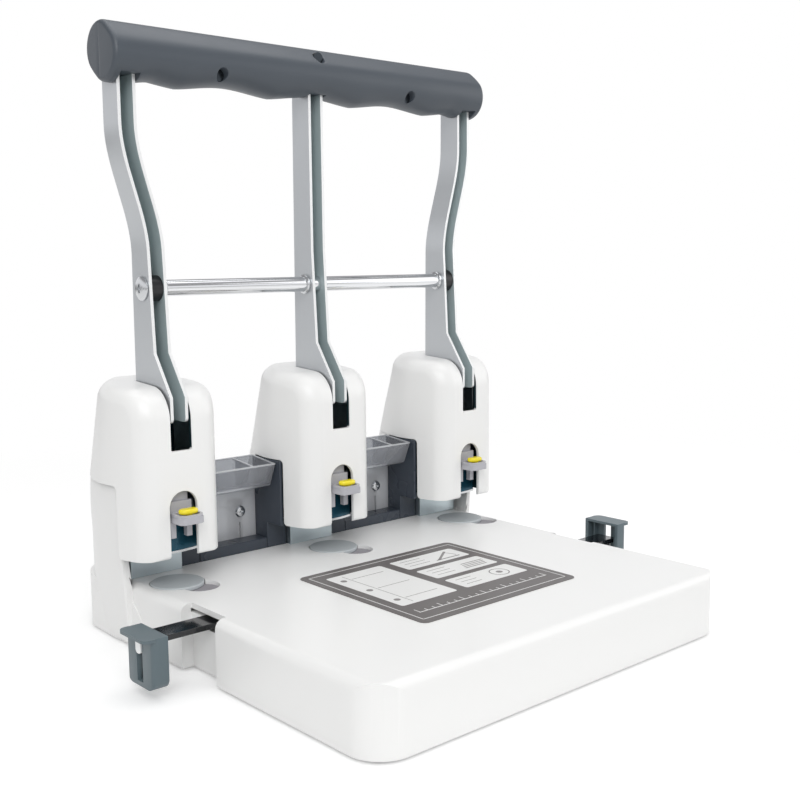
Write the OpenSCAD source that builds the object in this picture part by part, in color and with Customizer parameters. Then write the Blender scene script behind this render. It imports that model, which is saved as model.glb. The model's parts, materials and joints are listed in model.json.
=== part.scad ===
// Heavy-duty lever punch for three holes: a low paper table, three punching heads on a steel frame,
// and one tall three-armed lever with a moulded grip.
// X runs along the row of heads, +Y goes to the back and +Z up. The origin is on the desk,
// under the middle of the base. Lengths are in millimetres.

/* [Base] */
// Distance between neighbouring punched holes
hole_pitch = 108; // [104:1:112]
// How far the base reaches past the outer holes
base_reach = 19.5; // [18:0.5:23]
// Depth of the base from its front edge to its back
base_depth = 284; // [270:1:300]
// Height of the paper table over the desk
table_h = 35.5; // [34:0.5:38]
// Depth of the low deck behind the paper table
deck_depth = 67; // [66:0.5:68]
// Height of the low deck
deck_h = 30; // [28:0.5:31]
// Wall of the base moulding
base_wall = 3; // [2.5:0.25:3.5]
// Radius of the front corners in plan
front_corner_r = 18; // [14:1:24]
// Radius of the back corners in plan
back_corner_r = 28; // [22:1:32]
// Rounding of the table's top edge
table_edge_r = 5; // [3:0.5:6]
// Height of the rubber feet under the moulding
foot_h = 1.5; // [1:0.25:2.5]

/* [Heads] */
// How far the heads reach over the paper table
head_reach = 36; // [35.5:0.5:37]
// Height of the head covers
head_top = 146; // [145:0.5:150]
// Width of one head cover
head_w = 61.4; // [60:0.2:63]
// Height of the front skirt's lower edge
skirt_z = 51.5; // [50:0.5:52]
// Depth of the front skirt
skirt_depth = 21; // [18:0.5:22]
// Height where the cover sits on its column
column_h = 91; // [89:0.5:92]
// Wall of the head covers
cover_wall = 2.5; // [2:0.25:3]
// Width of the slot that the lever arm swings in
slot_w = 12.4; // [12:0.2:14]
// Height of the lower end of the front slot
slot_z = 109.7; // [105:0.5:112]
// Width of the arched window
window_w = 16.6; // [16:0.2:18]
// Height of the arched window's crown
window_top = 87.7; // [86:0.2:90]

/* [Lever] */
// Height of the lever's pivot
pivot_z = 132; // [131:0.5:133]
// Distance from the front face of the heads to the pivot
pivot_inset = 30; // [29.5:0.5:31]
// Diameter of the pivot pins
pivot_d = 8; // [6:0.5:9]
// Outside width of the channel-section arms
arm_w = 10.6; // [10:0.1:11]
// Depth of the arms from front to back
arm_depth = 18; // [16:0.5:19]
// Thickness of the arms' metal
arm_t = 1.8; // [1.5:0.1:2.2]
// How far the outer arms crank outwards under the grip
arm_crank = 13.5; // [10:0.5:14]
// Height of the arms' upper ends
arm_top = 325; // [322:0.5:326]
// Height of the cross rod
rod_z = 195; // [185:1:205]
// Diameter of the cross rod
rod_d = 9; // [8:0.5:10]
// How far the grip reaches past the middle of the outer arms
grip_reach = 10.5; // [8:0.5:14]
// How far the grip's middle line lies below the arms' upper ends
grip_drop = 8.7; // [8:0.1:9.5]
// Size of the grip across its short axis
grip_d = 28; // [26:0.5:30]
// Extra size of the grip across its long axis
grip_oval = 5.6; // [3:0.2:7]

/* [Punches] */
// Diameter of the punching pins
pin_d = 8; // [7:0.5:8.5]
// Downward stroke of the pins at the full pull of the lever
stroke = 21.5; // [18:0.5:21.5]
// Distance from the paper's edge stop to the hole's centre
hole_inset = 12; // [11:0.5:12.5]
// Outside diameter of the fixed guide sleeves
sleeve_d = 15; // [14:0.5:16]
// Diameter of the cutting discs
disc_d = 29; // [27:0.5:31]
// Thickness of the cutting discs
disc_t = 2.5; // [2:0.1:2.6]

/* [Side guides] */
// Distance from the left guide rail to the back edge of the paper table
left_rail_inset = 79; // [78:0.5:80]
// Distance from the right guide rail to the back edge of the paper table
right_rail_inset = 112; // [111:0.5:113]
// Width of the rails
rail_w = 14; // [12:0.5:15]
// Thickness of the rails' steel
rail_t = 1.5; // [1.2:0.1:2]
// How far the end stops are drawn out from the sides of the base
stop_out = 24; // [13:0.5:37]
// Width of the end stops
stop_w = 26; // [24:0.5:27]
// Height of the end stops
stop_h = 26.5; // [26:0.5:28]
// How far the right stop is drawn up over the left one
right_stop_lift = 8.5; // [0:0.5:9]

/* [Hidden] */

$fn = 64;
// Cuts run past the faces that they open by this much
overrun = 1;
// Gap around pieces that are set into each other
seat_gap = 0.3;
// Radial clearance of running fits
fit = 0.05;
// Steps in a quarter turn of a rounded outline
arc_steps = 10;

head_x = [-hole_pitch, 0, hole_pitch];
head_half = head_w / 2;
base_w = 2 * (hole_pitch + base_reach);
table_depth = base_depth - deck_depth;
head_front = table_depth - head_reach;
skirt_back = head_front + skirt_depth;
pivot_y = head_front + pivot_inset;
// The paper's edge stop stands on the table's back edge, and the row of holes lies in front of it
stop_inset = 4;
paper_stop_y = table_depth - stop_inset;
pin_y = paper_stop_y - hole_inset;

// Lean of the heads' backs, as depth per height
lean_share = 0.298;
lean_angle = atan(lean_share);
lean_foot_z = 8;
back_arc_r = 60;
// Where the sides of a head start to curve inwards, level with the desk
bend_inset = 43.5;
bend_y = base_depth - bend_inset;
head_corner_r = 12;
head_nose_r = 17.5;
head_nose_drop = 20;
head_nose = [head_front + head_nose_r, head_top - head_nose_drop];
head_crest_r = 9;
head_crest = [back_y(head_top - head_crest_r) - head_crest_r / cos(lean_angle), head_top - head_crest_r];
crest_span = head_crest - head_nose;
crest_angle = atan2(crest_span[1], crest_span[0]) - asin((head_nose_r - head_crest_r) / norm(crest_span));
skirt_corner_r = 2.5;

column_gap = 15;
column_front = table_depth + column_gap;
cheek_t = 2;
cheek_inset = 0.5;
cheek_front = skirt_back + 2 * cheek_inset;
cheek_out = head_half - cheek_inset;
frame_half = 16;
// The skin beside an outer head: it stands against the frame and leans out under the cover
skin_foot_x = hole_pitch + frame_half;
skin_inset = 5.5;
skin_top_x = hole_pitch + head_half - skin_inset;
side_front = table_depth - base_wall;
side_arc_r = 75;
side_arc_turn = 60;
// Sideways lean of the outer columns
splay = 8.6;
splay_out = 0.6;
side_arc_y = table_depth + cheek_t;
hollow_shift = 12;
foot_arch_inset = 5;
foot_arch_y = table_depth + foot_arch_inset;
foot_arch_half = 30;
foot_arch_h = 29.5;
foot_swell = 2.9;
foot_swell_share = 0.7;

frame_t = 2.5;
frame_back = column_front - cheek_t - 2 * seat_gap;
frame_top = 139;
shelf_z = 66;
shelf_front = paper_stop_y - frame_half;
sleeve_foot = 2.2;
sleeve_rim = 0.8;
sleeve_foot_d = sleeve_d + 2 * sleeve_rim;

frame_top_front = 128;
frame_throat_z = 92;
frame_corner = frame_top - frame_top_front;
frame_nose_y = head_front + frame_corner;

// Depth where the arms' backs and fronts lie at the pivot and under the grip
pivot_depth_share = 0.43;
arm_back_low = pivot_y + arm_depth * pivot_depth_share;
nose_web = 3;
arm_lean = 2.4;
nose_inset = 1.2;
nose_y = head_front + nose_inset;
nose_drop = 7.6;
nose_z = pivot_z - nose_drop;
nose_h = 13.6;
nose_slant_h = 22.5;
nose_corner_r = 2.5;
arm_front_low = arm_back_low - arm_depth - nose_web;
arm_straight_z = 215;
arm_back_top = arm_back_low - arm_lean;
arm_front_top = arm_back_top - arm_depth + arm_lean;
crank_low_rise = 18;
crank_low_z = rod_z + crank_low_rise;
crank_high_drop = 44;
crank_high_z = arm_top - crank_high_drop;
rod_y = pivot_y - pivot_d / 2;
rod_screw_d = 4;
rod_screw_head_d = 13;
rod_screw_head_h = 2.2;
bush_d = 14;
collar_d = 12.5;
collar_w = 3;
spring_d = 14;
pivot_end = 2;
pivot_len = 2 * frame_half + 2 * pivot_end;
pivot_head_d = pivot_d + 2 * pivot_end;
pivot_head_t = 1.6;

grip_z = arm_top - grip_drop;
grip_len = 2 * (hole_pitch + arm_crank + grip_reach);
grip_lead = 3.7;
grip_y = pivot_y - grip_lead;
grip_split_inset = 1.2;
grip_split_y = grip_y + grip_split_inset;
grip_tilt = 40;
grip_end_r = 7;
scallop_pitch = 60;
scallop_depth = 2.8;
scallop_step = 3;
grip_notch_h = 4.5;
grip_screw_x = 68;
grip_screw_drop = 7.3;
grip_screw_low = grip_z - grip_screw_drop;
grip_screw_rise = 9.3;
grip_screw_high = grip_z + grip_screw_rise;
grip_screw_recess_d = 7;
grip_screw_recess = 8;
grip_screw_len = 14;
grip_screw_head_d = 6.4;

grip_half_h = grip_d / 2 + grip_oval / 2 * sin(grip_tilt);
grip_half_d = grip_d / 2 + grip_oval / 2 * cos(grip_tilt);
grip_low = grip_z - grip_half_h;
grip_screw_places = [
  [-grip_screw_x, grip_screw_low], [0, grip_screw_high], [grip_screw_x, grip_screw_low]];
grip_screw_seat = grip_y - grip_half_d + grip_screw_recess;

disc_proud = 0.6;

clip_w = 13;
clip_t = 7.4;
clip_gap = 0.7;
clip_front = head_front + cover_wall + clip_gap;
clip_shelf_z = 71.3;
clip_shelf_t = 3.5;
clip_shelf_w = 14.4;
clip_shelf_out = 10;
clip_shelf_r = 3;
clip_step_z = 82;
clip_step = 1.5;
clamp_z = 92;
clamp_top = 104;
prong_w = 3.2;
prong_h = 9.3;
prong_t = 3.5;
tappet_d = 12;
tappet_round = 2;
pin_foot = table_h + disc_proud + seat_gap + stroke;
tappet_top = nose_z - seat_gap;
sleeve_top_t = 1.5;
sleeve_top_rim = 1.1;
sleeve_top_d = sleeve_d + 2 * sleeve_top_rim;
button_w = 11;
button_d = 7.5;
button_h = 3;
button_travel = 1.2;
button_stem_d = 4;
button_stem_gap = 0.2;
button_y = head_front - clip_shelf_out / 2;

left_rail_y = table_depth - left_rail_inset;
right_rail_y = table_depth - right_rail_inset;
rail_drop = 5;
rail_top = table_h - rail_drop;
rail_lip = 5.5;
rail_inner_end = 20;
tab_w = 5;
tab_h = 6.5;
tab_out = 0.8;
stop_t = 8.5;
stop_wall = 2.2;
stop_roof = 1.6;
stop_bottom = rail_top - stop_h + stop_roof + seat_gap;
stop_slot_w = 5.6;
stop_slot_foot = 2.5;
stop_corner_r = 4;
stop_edge_r = 2.5;
lip_out = 4.5;
lip_t = 1.6;
stop_reach = base_w / 2 + stop_out;
rail_tip = stop_reach + stop_t - stop_wall - seat_gap;
notch_depth = 6.5;
notch_w = stop_w + notch_depth;

pan_t = 2.5;
pan_top = foot_h + pan_t;
foot_d = 16;
foot_inset = 24;

disc_inset = 10;
disc_y = pin_y - disc_inset;
pocket_depth = 3;
pocket_gap = 0.5;
pocket_r = disc_d / 2 + pocket_gap;
scoop_r = 10;
scoop_x = 6;
scoop_y = -15;
seat_t = pocket_depth - disc_t + disc_proud - fit;

label_over = 6;
label_w = hole_pitch + label_over;
label_front = 47;
label_inset = 67;
label_back = table_depth - label_inset;
label_r = 4;
label_t = 0.4;

guard_t = 2;
guard_back = column_front - 3 * seat_gap;
guard_w = hole_pitch - 2 * cheek_out - 2 * seat_gap;
guard_foot_z = 38;
sill_top = 41.8;
guard_post_x = 12;
guard_post_w = 7;
guard_screw_z = 58;
bin_reach = 11.5;
bin_front = table_depth - bin_reach;
bin_foot_reach = 5.7;
bin_foot_front = table_depth - bin_foot_reach;
bin_front_z = 88.6;
bin_back_z = 91.5;
bin_floor_z = 75;
bin_floor_back_z = 70;
bin_t = 1.6;
screw_d = 3;
screw_head_d = 7;
screw_head_h = 2;
guard_slot_w = 1.2;

rib_t = 1.8;
rib_x_shares = [-0.3, 0, 0.3];
rib_inset = 12.5;
rib_places = [
  table_depth / 4, (left_rail_y + right_rail_y) / 2 + rail_w / 4, disc_y - rib_inset];

// Points along an arc from angle a0 to angle a1
function arc(c, r, a0, a1) =
  let (n = max(2, ceil(arc_steps * abs(a1 - a0) / 90)))
  [for (i = [0:n]) c + r * [cos(a0 + (a1 - a0) * i / n), sin(a0 + (a1 - a0) * i / n)]];

// Depth of a head's back at a height
function back_y(z) = base_depth - (z - lean_foot_z) * lean_share;

// Moves a piece that is measured from the base's front edge into the frame
module from_front() {
  translate([0, -base_depth / 2, 0]) children();
}

// Extrudes an outline in depth and height across the width
module side_prism(w) {
  rotate([90, 0, 90]) linear_extrude(w, center = true) children();
}

// Extrudes an outline in width and height from one depth to another
module front_prism(y0, y1) {
  translate([0, y1, 0]) rotate([90, 0, 0]) linear_extrude(y1 - y0) children();
}

// A box that is centred on X and given by its depth and height spans
module span_box(w, y0, y1, z0, z1) {
  translate([-w / 2, y0, z0]) cube([w, y1 - y0, z1 - z0]);
}

// A rectangle with rounded corners, given by its two corners
module round_rect(x0, y0, x1, y1, r) {
  polygon(concat(
    arc([x1 - r, y1 - r], r, 0, 90), arc([x0 + r, y1 - r], r, 90, 180),
    arc([x0 + r, y0 + r], r, 180, 270), arc([x1 - r, y0 + r], r, 270, 360)));
}

// Base moulding

module base_plan(inset = 0) {
  w = base_w / 2 - inset;
  rf = front_corner_r - inset;
  rb = back_corner_r - inset;
  polygon(concat(
    arc([w - rf, inset + rf], rf, -90, 0), arc([w - rb, base_depth - inset - rb], rb, 0, 90),
    arc([rb - w, base_depth - inset - rb], rb, 90, 180), arc([rf - w, inset + rf], rf, 180, 270)));
}

// The table's top edge: full size up to the rounding, then drawn in along a quarter round
module table_block() {
  r = table_edge_r;
  intersection() {
    translate([0, 0, foot_h]) linear_extrude(table_h - foot_h) base_plan();
    side_prism(base_w) polygon(concat(
      [[0, 0]], [[base_depth, 0], [base_depth, table_h]], arc([r, table_h - r], r, 90, 180)));
    front_prism(0, base_depth) polygon(concat(
      [[-base_w / 2, 0], [base_w / 2, 0]],
      arc([base_w / 2 - r, table_h - r], r, 0, 90), arc([r - base_w / 2, table_h - r], r, 90, 180)));
  }
}

// Puts a piece of the right side guide on either side, level with its rail
module guide_side(side) {
  translate([0, side < 0 ? left_rail_y : right_rail_y, 0]) mirror([side < 0 ? 1 : 0, 0, 0]) children();
}

module notches() {
  for (side = [-1, 1])
    guide_side(side)
      translate([base_w / 2 - notch_depth, -notch_w / 2, 0])
        cube([2 * notch_depth, notch_w, table_h + overrun]);
}

module notch_walls() {
  for (side = [-1, 1])
    guide_side(side)
      translate([base_w / 2 - notch_depth - base_wall, -notch_w / 2 - base_wall, foot_h])
        cube([notch_depth + base_wall, notch_w + 2 * base_wall, table_h - table_edge_r - foot_h]);
}

// The ways that the rails slide through, from the notch to past the middle rib
module rail_windows() {
  for (side = [-1, 1])
    guide_side(side)
      translate([-rib_t, -rail_w / 2 - seat_gap, rail_top - rail_lip - seat_gap])
        cube([base_w / 2, rail_w + 2 * seat_gap, rail_lip + 2 * seat_gap]);
}

module two_lobes(extra) {
  circle(pocket_r + extra);
  translate([scoop_x, scoop_y]) circle(scoop_r + extra);
}

function reversed(list) = [for (i = [len(list) - 1:-1:0]) list[i]];
function mirrored(list) = [for (p = list) [-p[0], p[1]]];

module arch_outline(inset) {
  r = back_arc_r - inset;
  tip = acos((back_arc_r - head_half) / r);
  side = concat([[head_half - inset, -head_top]], arc([head_half - back_arc_r, 0], r, 0, tip));
  polygon(concat(side, reversed(mirrored(side))));
}

// The leaning back of a head, long enough for its cover and its column
module arch_prism(inset = 0) {
  translate([0, bend_y, 0]) rotate([lean_angle, 0, 0]) translate([0, 0, -head_top])
    linear_extrude(3 * head_top) arch_outline(inset);
}

// Outer side of an outer column on the right: it leans outwards up to the cover
module outward() {
  translate([hole_pitch + head_half + splay_out, 0, column_h]) rotate([0, splay, 0])
    translate([-hole_pitch, 0, -2 * column_h]) children();
}

module column_body(inset, foot) {
  low = max(foot, lean_foot_z);
  intersection() {
    arch_prism(inset);
    side_prism(2 * base_w) polygon([
      [column_front + inset, foot - inset], [column_front + inset, column_h - inset],
      [back_y(column_h) - inset, column_h - inset], [back_y(low) - inset, low],
      [back_y(low) - inset, foot - inset - fit]]);
  }
}

// An outer column stands on the desk and has a skin in front of it, beside the head's inner parts
module outer_column() {
  intersection() {
    union() {
      translate([hole_pitch, 0, 0]) column_body(0, foot_h);
      front_prism(side_front, column_front + overrun) polygon([
        [skin_foot_x, foot_h], [skin_top_x, column_h], [base_w, column_h], [base_w, foot_h]]);
    }
    outward() translate([0, 0, -column_h]) linear_extrude(4 * column_h) polygon(concat(
      [[-hole_pitch, 0], [hole_pitch, 0]], 
      arc([hole_pitch - side_arc_r, side_arc_y], side_arc_r, 0, side_arc_turn),
      [[-hole_pitch, base_depth]]));
  }
}

module columns() {
  column_body(0, deck_h - base_wall);
  for (side = [0, 1]) mirror([side, 0, 0]) outer_column();
}

module column_hollows() {
  column_body(base_wall, deck_h - base_wall);
  for (side = [-1, 1])
    intersection() {
      translate([side * hole_pitch, 0, 0]) column_body(base_wall, foot_h);
      translate([side * (hole_pitch - hollow_shift), 0, 0]) column_body(base_wall, foot_h);
    }
}

// Swollen foot below an outer column: an arch seen from the side, with a crease down its middle
module side_feet() {
  for (side = [0, 1])
    mirror([side, 0, 0]) intersection() {
      translate([base_w / 2, foot_arch_y, foot_h]) side_prism(2 * base_wall) polygon([
        for (p = arc([0, 0], 1, 0, 180)) [foot_arch_half * p[0], foot_arch_h * p[1]]]);
      linear_extrude(table_h) polygon([
        [base_w / 2 - base_wall, foot_arch_y - foot_arch_half], [base_w / 2, foot_arch_y - foot_arch_half],
        [base_w / 2 + foot_swell, foot_arch_y],
        [base_w / 2 + foot_swell * foot_swell_share, foot_arch_y + foot_arch_half],
        [base_w / 2 - base_wall, foot_arch_y + foot_arch_half]]);
    }
}

module guard_posts() {
  for (x = [-hole_pitch / 2, hole_pitch / 2])
    translate([x + guard_post_x, 0, 0])
      span_box(guard_post_w, guard_back + seat_gap, guard_back + guard_post_w, deck_h - overrun,
               guard_screw_z + guard_post_w);
}

module inner_ribs() {
  for (share = rib_x_shares)
    translate([share * base_w, 0, 0])
      span_box(rib_t, base_wall, base_depth - base_wall, pan_top + seat_gap, deck_h - base_wall / 2);
  for (y = rib_places)
    span_box(base_w - 2 * base_wall - 2 * notch_depth, y - rib_t / 2, y + rib_t / 2, pan_top + seat_gap,
             deck_h - base_wall / 2);
}

module base_shell() color("#f3f3f2") from_front() {
  difference() {
    union() {
      difference() {
        union() {
          difference() {
            table_block();
            span_box(2 * base_w, table_depth, base_depth + overrun, deck_h, table_h + overrun);
          }
          columns();
          side_feet();
        }
        translate([0, 0, -overrun]) linear_extrude(deck_h - base_wall + overrun) base_plan(base_wall);
        translate([0, 0, -overrun])
          span_box(base_w - 4 * base_wall, 2 * base_wall, table_depth - base_wall, 0,
                   table_h - base_wall + overrun);
        column_hollows();
      }
      intersection() {
        linear_extrude(table_h) base_plan();
        notch_walls();
      }
      for (x = head_x)
        translate([x, disc_y, table_h - pocket_depth - base_wall])
          linear_extrude(base_wall + pocket_depth / 2) two_lobes(base_wall);
      inner_ribs();
      guard_posts();
    }
    notches();
    rail_windows();
    for (x = head_x)
      translate([x, disc_y, table_h - pocket_depth]) linear_extrude(pocket_depth + overrun) two_lobes(0);
    for (x = [-hole_pitch / 2, hole_pitch / 2])
      translate([x + guard_post_x, guard_back, guard_screw_z]) rotate([-90, 0, 0])
        cylinder(d = screw_d + 2 * fit, h = guard_post_w - base_wall / 2);
  }
}

module chip_pan() color("#3c3f44") from_front() {
  translate([0, 0, foot_h]) linear_extrude(pan_t) difference() {
    base_plan(base_wall + seat_gap);
    for (side = [-1, 1])
      guide_side(side)
        translate([base_w / 2 - notch_depth - base_wall - seat_gap, -notch_w / 2 - base_wall - seat_gap])
          square([notch_depth + base_wall, notch_w + 2 * base_wall + 2 * seat_gap]);
  }
}

module feet() color("#2a2b2d") from_front() {
  for (x = [foot_inset - base_w / 2, base_w / 2 - foot_inset], y = [foot_inset, base_depth - foot_inset])
    translate([x, y, 0]) cylinder(d = foot_d, h = foot_h);
}

module label_panel() color("#6b6666") from_front() {
  translate([0, 0, table_h]) linear_extrude(label_t)
    round_rect(-label_w / 2, label_front, label_w / 2, label_back, label_r);
}

// Heads

function body_side(inset) = concat(
  [[head_front + inset, 0]], arc(head_nose, head_nose_r - inset, 180, 90 + crest_angle),
  arc(head_crest, head_crest_r - inset, 90 + crest_angle, lean_angle),
  [[back_y(0) - inset / cos(lean_angle), 0]]);

// One head's outer form, or its hollow: an upright front with round corners and a leaning arched back
module head_form(inset = 0) {
  r = head_corner_r - inset;
  w = head_half - inset;
  y0 = head_front + inset;
  intersection() {
    linear_extrude(head_top + overrun) polygon(concat(
      [[w, base_depth], [-w, base_depth]],
      arc([r - w, y0 + r], r, 180, 270), arc([w - r, y0 + r], r, 270, 360)));
    arch_prism(inset);
    side_prism(2 * head_w) polygon(body_side(inset));
    front_prism(0, base_depth) polygon(concat(
      [[-w, 0], [w, 0]], arc([w - r, head_top - inset - r], r, 0, 90),
      arc([r - w, head_top - inset - r], r, 90, 180)));
  }
}

// What is left open under the cover: the paper gap in front and the column behind the skirt
module under_cover() {
  r = skirt_corner_r;
  side_prism(2 * head_w) polygon(concat(
    [[0, 0], [base_depth, 0], [base_depth, column_h]],
    arc([skirt_back + r, column_h - r], r, 90, 180), arc([skirt_back - r, skirt_z + r], r, 0, -90),
    arc([head_front + r, skirt_z + r], r, 270, 180), [[0, skirt_z + r]]));
}

module window_outline() {
  translate([0, window_top - window_w / 2]) circle(d = window_w);
  translate([-window_w / 2, 0]) square([window_w, window_top - window_w / 2]);
}

module head_cover(x) color("#f4f4f3") from_front() translate([x, 0, 0]) {
  difference() {
    head_form();
    under_cover();
    head_form(cover_wall);
    span_box(slot_w, 0, arm_back_low + 2 * seat_gap, slot_z, head_top + overrun);
    front_prism(head_front - overrun, head_front + 2 * cover_wall) window_outline();
  }
}

module head_cover_l() head_cover(head_x[0]);
module head_cover_m() head_cover(head_x[1]);
module head_cover_r() head_cover(head_x[2]);

// Folded steel frame of a head: edge stop, shelf for the sleeve, back and two cheeks with the pivot bore
module punch_frame(x) color("#9aa4a8") from_front() translate([x, 0, 0]) {
  difference() {
    union() {
      span_box(2 * frame_half, paper_stop_y, paper_stop_y + frame_t, table_h, shelf_z + frame_t);
      span_box(2 * frame_half, shelf_front, paper_stop_y + frame_t, shelf_z, shelf_z + frame_t);
      span_box(2 * frame_half, frame_back - frame_t, frame_back, deck_h, frame_top_front);
      span_box(2 * frame_half, table_depth + seat_gap, frame_back, deck_h, deck_h + frame_t);
      for (side = [-1, 1])
        translate([side * (frame_half - frame_t / 2), 0, 0]) side_prism(frame_t) polygon([
          [paper_stop_y, table_h], [table_depth + seat_gap, table_h], [table_depth + seat_gap, deck_h],
          [frame_back, deck_h], [frame_back, frame_top_front], [frame_back - frame_corner, frame_top],
          [frame_nose_y + frame_corner, frame_top], [frame_nose_y, frame_top_front],
          [frame_nose_y, frame_throat_z], [shelf_front, shelf_z + frame_t], [shelf_front, shelf_z],
          [paper_stop_y, shelf_z]]);
    }
    translate([0, pin_y, 0]) cylinder(d = sleeve_d + 2 * fit, h = head_top);
    translate([-frame_half - overrun, pivot_y, pivot_z]) rotate([0, 90, 0])
      cylinder(d = pivot_d + 2 * fit, h = 2 * frame_half + 2 * overrun);
  }
}

module punch_frame_l() punch_frame(head_x[0]);
module punch_frame_m() punch_frame(head_x[1]);
module punch_frame_r() punch_frame(head_x[2]);

// Dark inner housing of a head: a cheek on each side that faces a guard, the web that closes its front
// under the skirt, and a back wall
module head_core(x, sides) color("#24272d") from_front() translate([x, 0, 0]) {
  x0 = len(search(-1, sides)) > 0 ? -cheek_out : -frame_half;
  x1 = len(search(1, sides)) > 0 ? cheek_out : frame_half;
  top = column_h - seat_gap;
  back = column_front - seat_gap;
  foot = table_depth + seat_gap;
  web_top = skirt_z - seat_gap;
  translate([x0, back - cheek_t, deck_h]) cube([x1 - x0, cheek_t, top - deck_h]);
  for (side = sides) {
    translate([side * (cheek_out - cheek_t / 2), 0, 0]) side_prism(cheek_t) polygon([
      [foot, deck_h], [back, deck_h], [back, top], [cheek_front, top], [cheek_front, web_top],
      [foot, web_top]]);
    translate([side * (cheek_out + frame_half + seat_gap) / 2, 0, 0])
      span_box(cheek_out - frame_half - seat_gap, foot, foot + cheek_t, deck_h, web_top);
  }
}

module head_core_l() head_core(head_x[0], [1]);
module head_core_m() head_core(head_x[1], [-1, 1]);
module head_core_r() head_core(head_x[2], [-1]);

module guide_sleeve(x) color("#1d3a52") from_front() translate([x, pin_y, 0]) {
  difference() {
    union() {
      translate([0, 0, skirt_z]) cylinder(d = sleeve_foot_d, h = sleeve_foot);
      translate([0, 0, skirt_z]) cylinder(d = sleeve_d, h = shelf_z + frame_t - skirt_z);
      translate([0, 0, shelf_z + frame_t]) cylinder(d = sleeve_top_d, h = sleeve_top_t);
    }
    translate([0, 0, skirt_z - overrun]) cylinder(d = pin_d + 2 * fit, h = shelf_z);
  }
}

module guide_sleeve_l() guide_sleeve(head_x[0]);
module guide_sleeve_m() guide_sleeve(head_x[1]);
module guide_sleeve_r() guide_sleeve(head_x[2]);

module die_seat(x) color("#77777b") from_front() {
  translate([x, disc_y, table_h - pocket_depth]) linear_extrude(seat_t) two_lobes(-seat_gap / 2);
}

module die_seat_l() die_seat(head_x[0]);
module die_seat_m() die_seat(head_x[1]);
module die_seat_r() die_seat(head_x[2]);

module die_disc(x) color("#8f9294") from_front() {
  translate([x, disc_y, table_h + disc_proud - disc_t]) cylinder(d = disc_d, h = disc_t);
}

module die_disc_l() die_disc(head_x[0]);
module die_disc_m() die_disc(head_x[1]);
module die_disc_r() die_disc(head_x[2]);

module pivot_pin(x) color("#b9bcc0") from_front() translate([x, pivot_y, pivot_z]) rotate([0, 90, 0]) {
  translate([0, 0, -pivot_len / 2]) cylinder(d = pivot_d, h = pivot_len);
  for (side = [0, 1])
    mirror([0, 0, side]) translate([0, 0, frame_half + seat_gap])
      cylinder(d = pivot_head_d, h = pivot_head_t);
}

module pivot_pin_l() pivot_pin(head_x[0]);
module pivot_pin_m() pivot_pin(head_x[1]);
module pivot_pin_r() pivot_pin(head_x[2]);

// Torsion springs on both sides of the arm, as plain sleeves over the pivot pin
module lever_spring(x) color("#6f7377") from_front() translate([x, pivot_y, pivot_z]) rotate([0, 90, 0]) {
  for (side = [0, 1])
    mirror([0, 0, side]) translate([0, 0, arm_w / 2 + seat_gap]) difference() {
      cylinder(d = spring_d, h = frame_half - frame_t - arm_w / 2 - 2 * seat_gap);
      translate([0, 0, -overrun]) cylinder(d = pivot_d + 2 * seat_gap, h = frame_half);
    }
}

module lever_spring_l() lever_spring(head_x[0]);
module lever_spring_m() lever_spring(head_x[1]);
module lever_spring_r() lever_spring(head_x[2]);

// Dark strips that close the step behind the table between the heads
module rear_sills() color("#2b2f36") from_front() {
  for (x = [-hole_pitch / 2, hole_pitch / 2])
    translate([x, 0, 0])
      span_box(guard_w, table_depth + seat_gap, guard_back - guard_t - seat_gap, deck_h, sill_top);
}

// Guards between the heads: a smoked panel with an open bin along its top

module bin_outline(inset) {
  back = guard_back - (inset > 0 ? guard_t : 0);
  rise = inset > 0 ? overrun : 0;
  polygon([
    [bin_front + inset, bin_front_z + rise], [bin_foot_front + inset, bin_floor_z + inset],
    [guard_back - guard_t, bin_floor_back_z + inset], [back, bin_floor_back_z + inset],
    [back, bin_back_z + rise]]);
}

module guard(x) color("#5b6068", 0.55) from_front() translate([x, 0, 0]) {
  difference() {
    union() {
      side_prism(guard_w) bin_outline(0);
      span_box(guard_w, guard_back - guard_t, guard_back, guard_foot_z, bin_back_z);
    }
    side_prism(guard_w - 2 * bin_t) bin_outline(bin_t);
    translate([guard_post_x, guard_back - guard_t - overrun, guard_screw_z]) rotate([-90, 0, 0])
      cylinder(d = screw_d + 2 * fit, h = guard_t + 2 * overrun);
    translate([guard_post_x, 0, 0])
      span_box(guard_slot_w, guard_back - guard_t - overrun, guard_back + overrun, guard_foot_z - overrun,
               guard_screw_z - screw_head_d);
  }
}

module guard_l() guard(-hole_pitch / 2);
module guard_r() guard(hole_pitch / 2);

module guard_screws() color("#c9ccd0") from_front() {
  for (x = [-hole_pitch / 2, hole_pitch / 2])
    translate([x + guard_post_x, guard_back - guard_t, guard_screw_z]) rotate([-90, 0, 0]) {
      translate([0, 0, -screw_head_h]) cylinder(d = screw_head_d, h = screw_head_h);
      cylinder(d = screw_d, h = guard_t + guard_post_w / 2);
    }
}

// Lever

// Sideways place of an arm's middle line: straight in the head, cranked outwards under the grip
function crank(z) =
  let (t = max(0, min(1, (z - crank_low_z) / (crank_high_z - crank_low_z)))) t * t * (3 - 2 * t);
function arm_line(side, off) = [
  for (z = concat([0, crank_low_z], side == 0 ? [] : [for (i = [1:2 * arc_steps - 1])
    crank_low_z + (crank_high_z - crank_low_z) * i / (2 * arc_steps)], [crank_high_z, arm_top]))
    [side * (hole_pitch + arm_crank * crank(z)) + off, z]];

module arm_ribbon(side, half) {
  front_prism(0, base_depth) polygon(concat(arm_line(side, half), reversed(arm_line(side, -half))));
}

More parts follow.
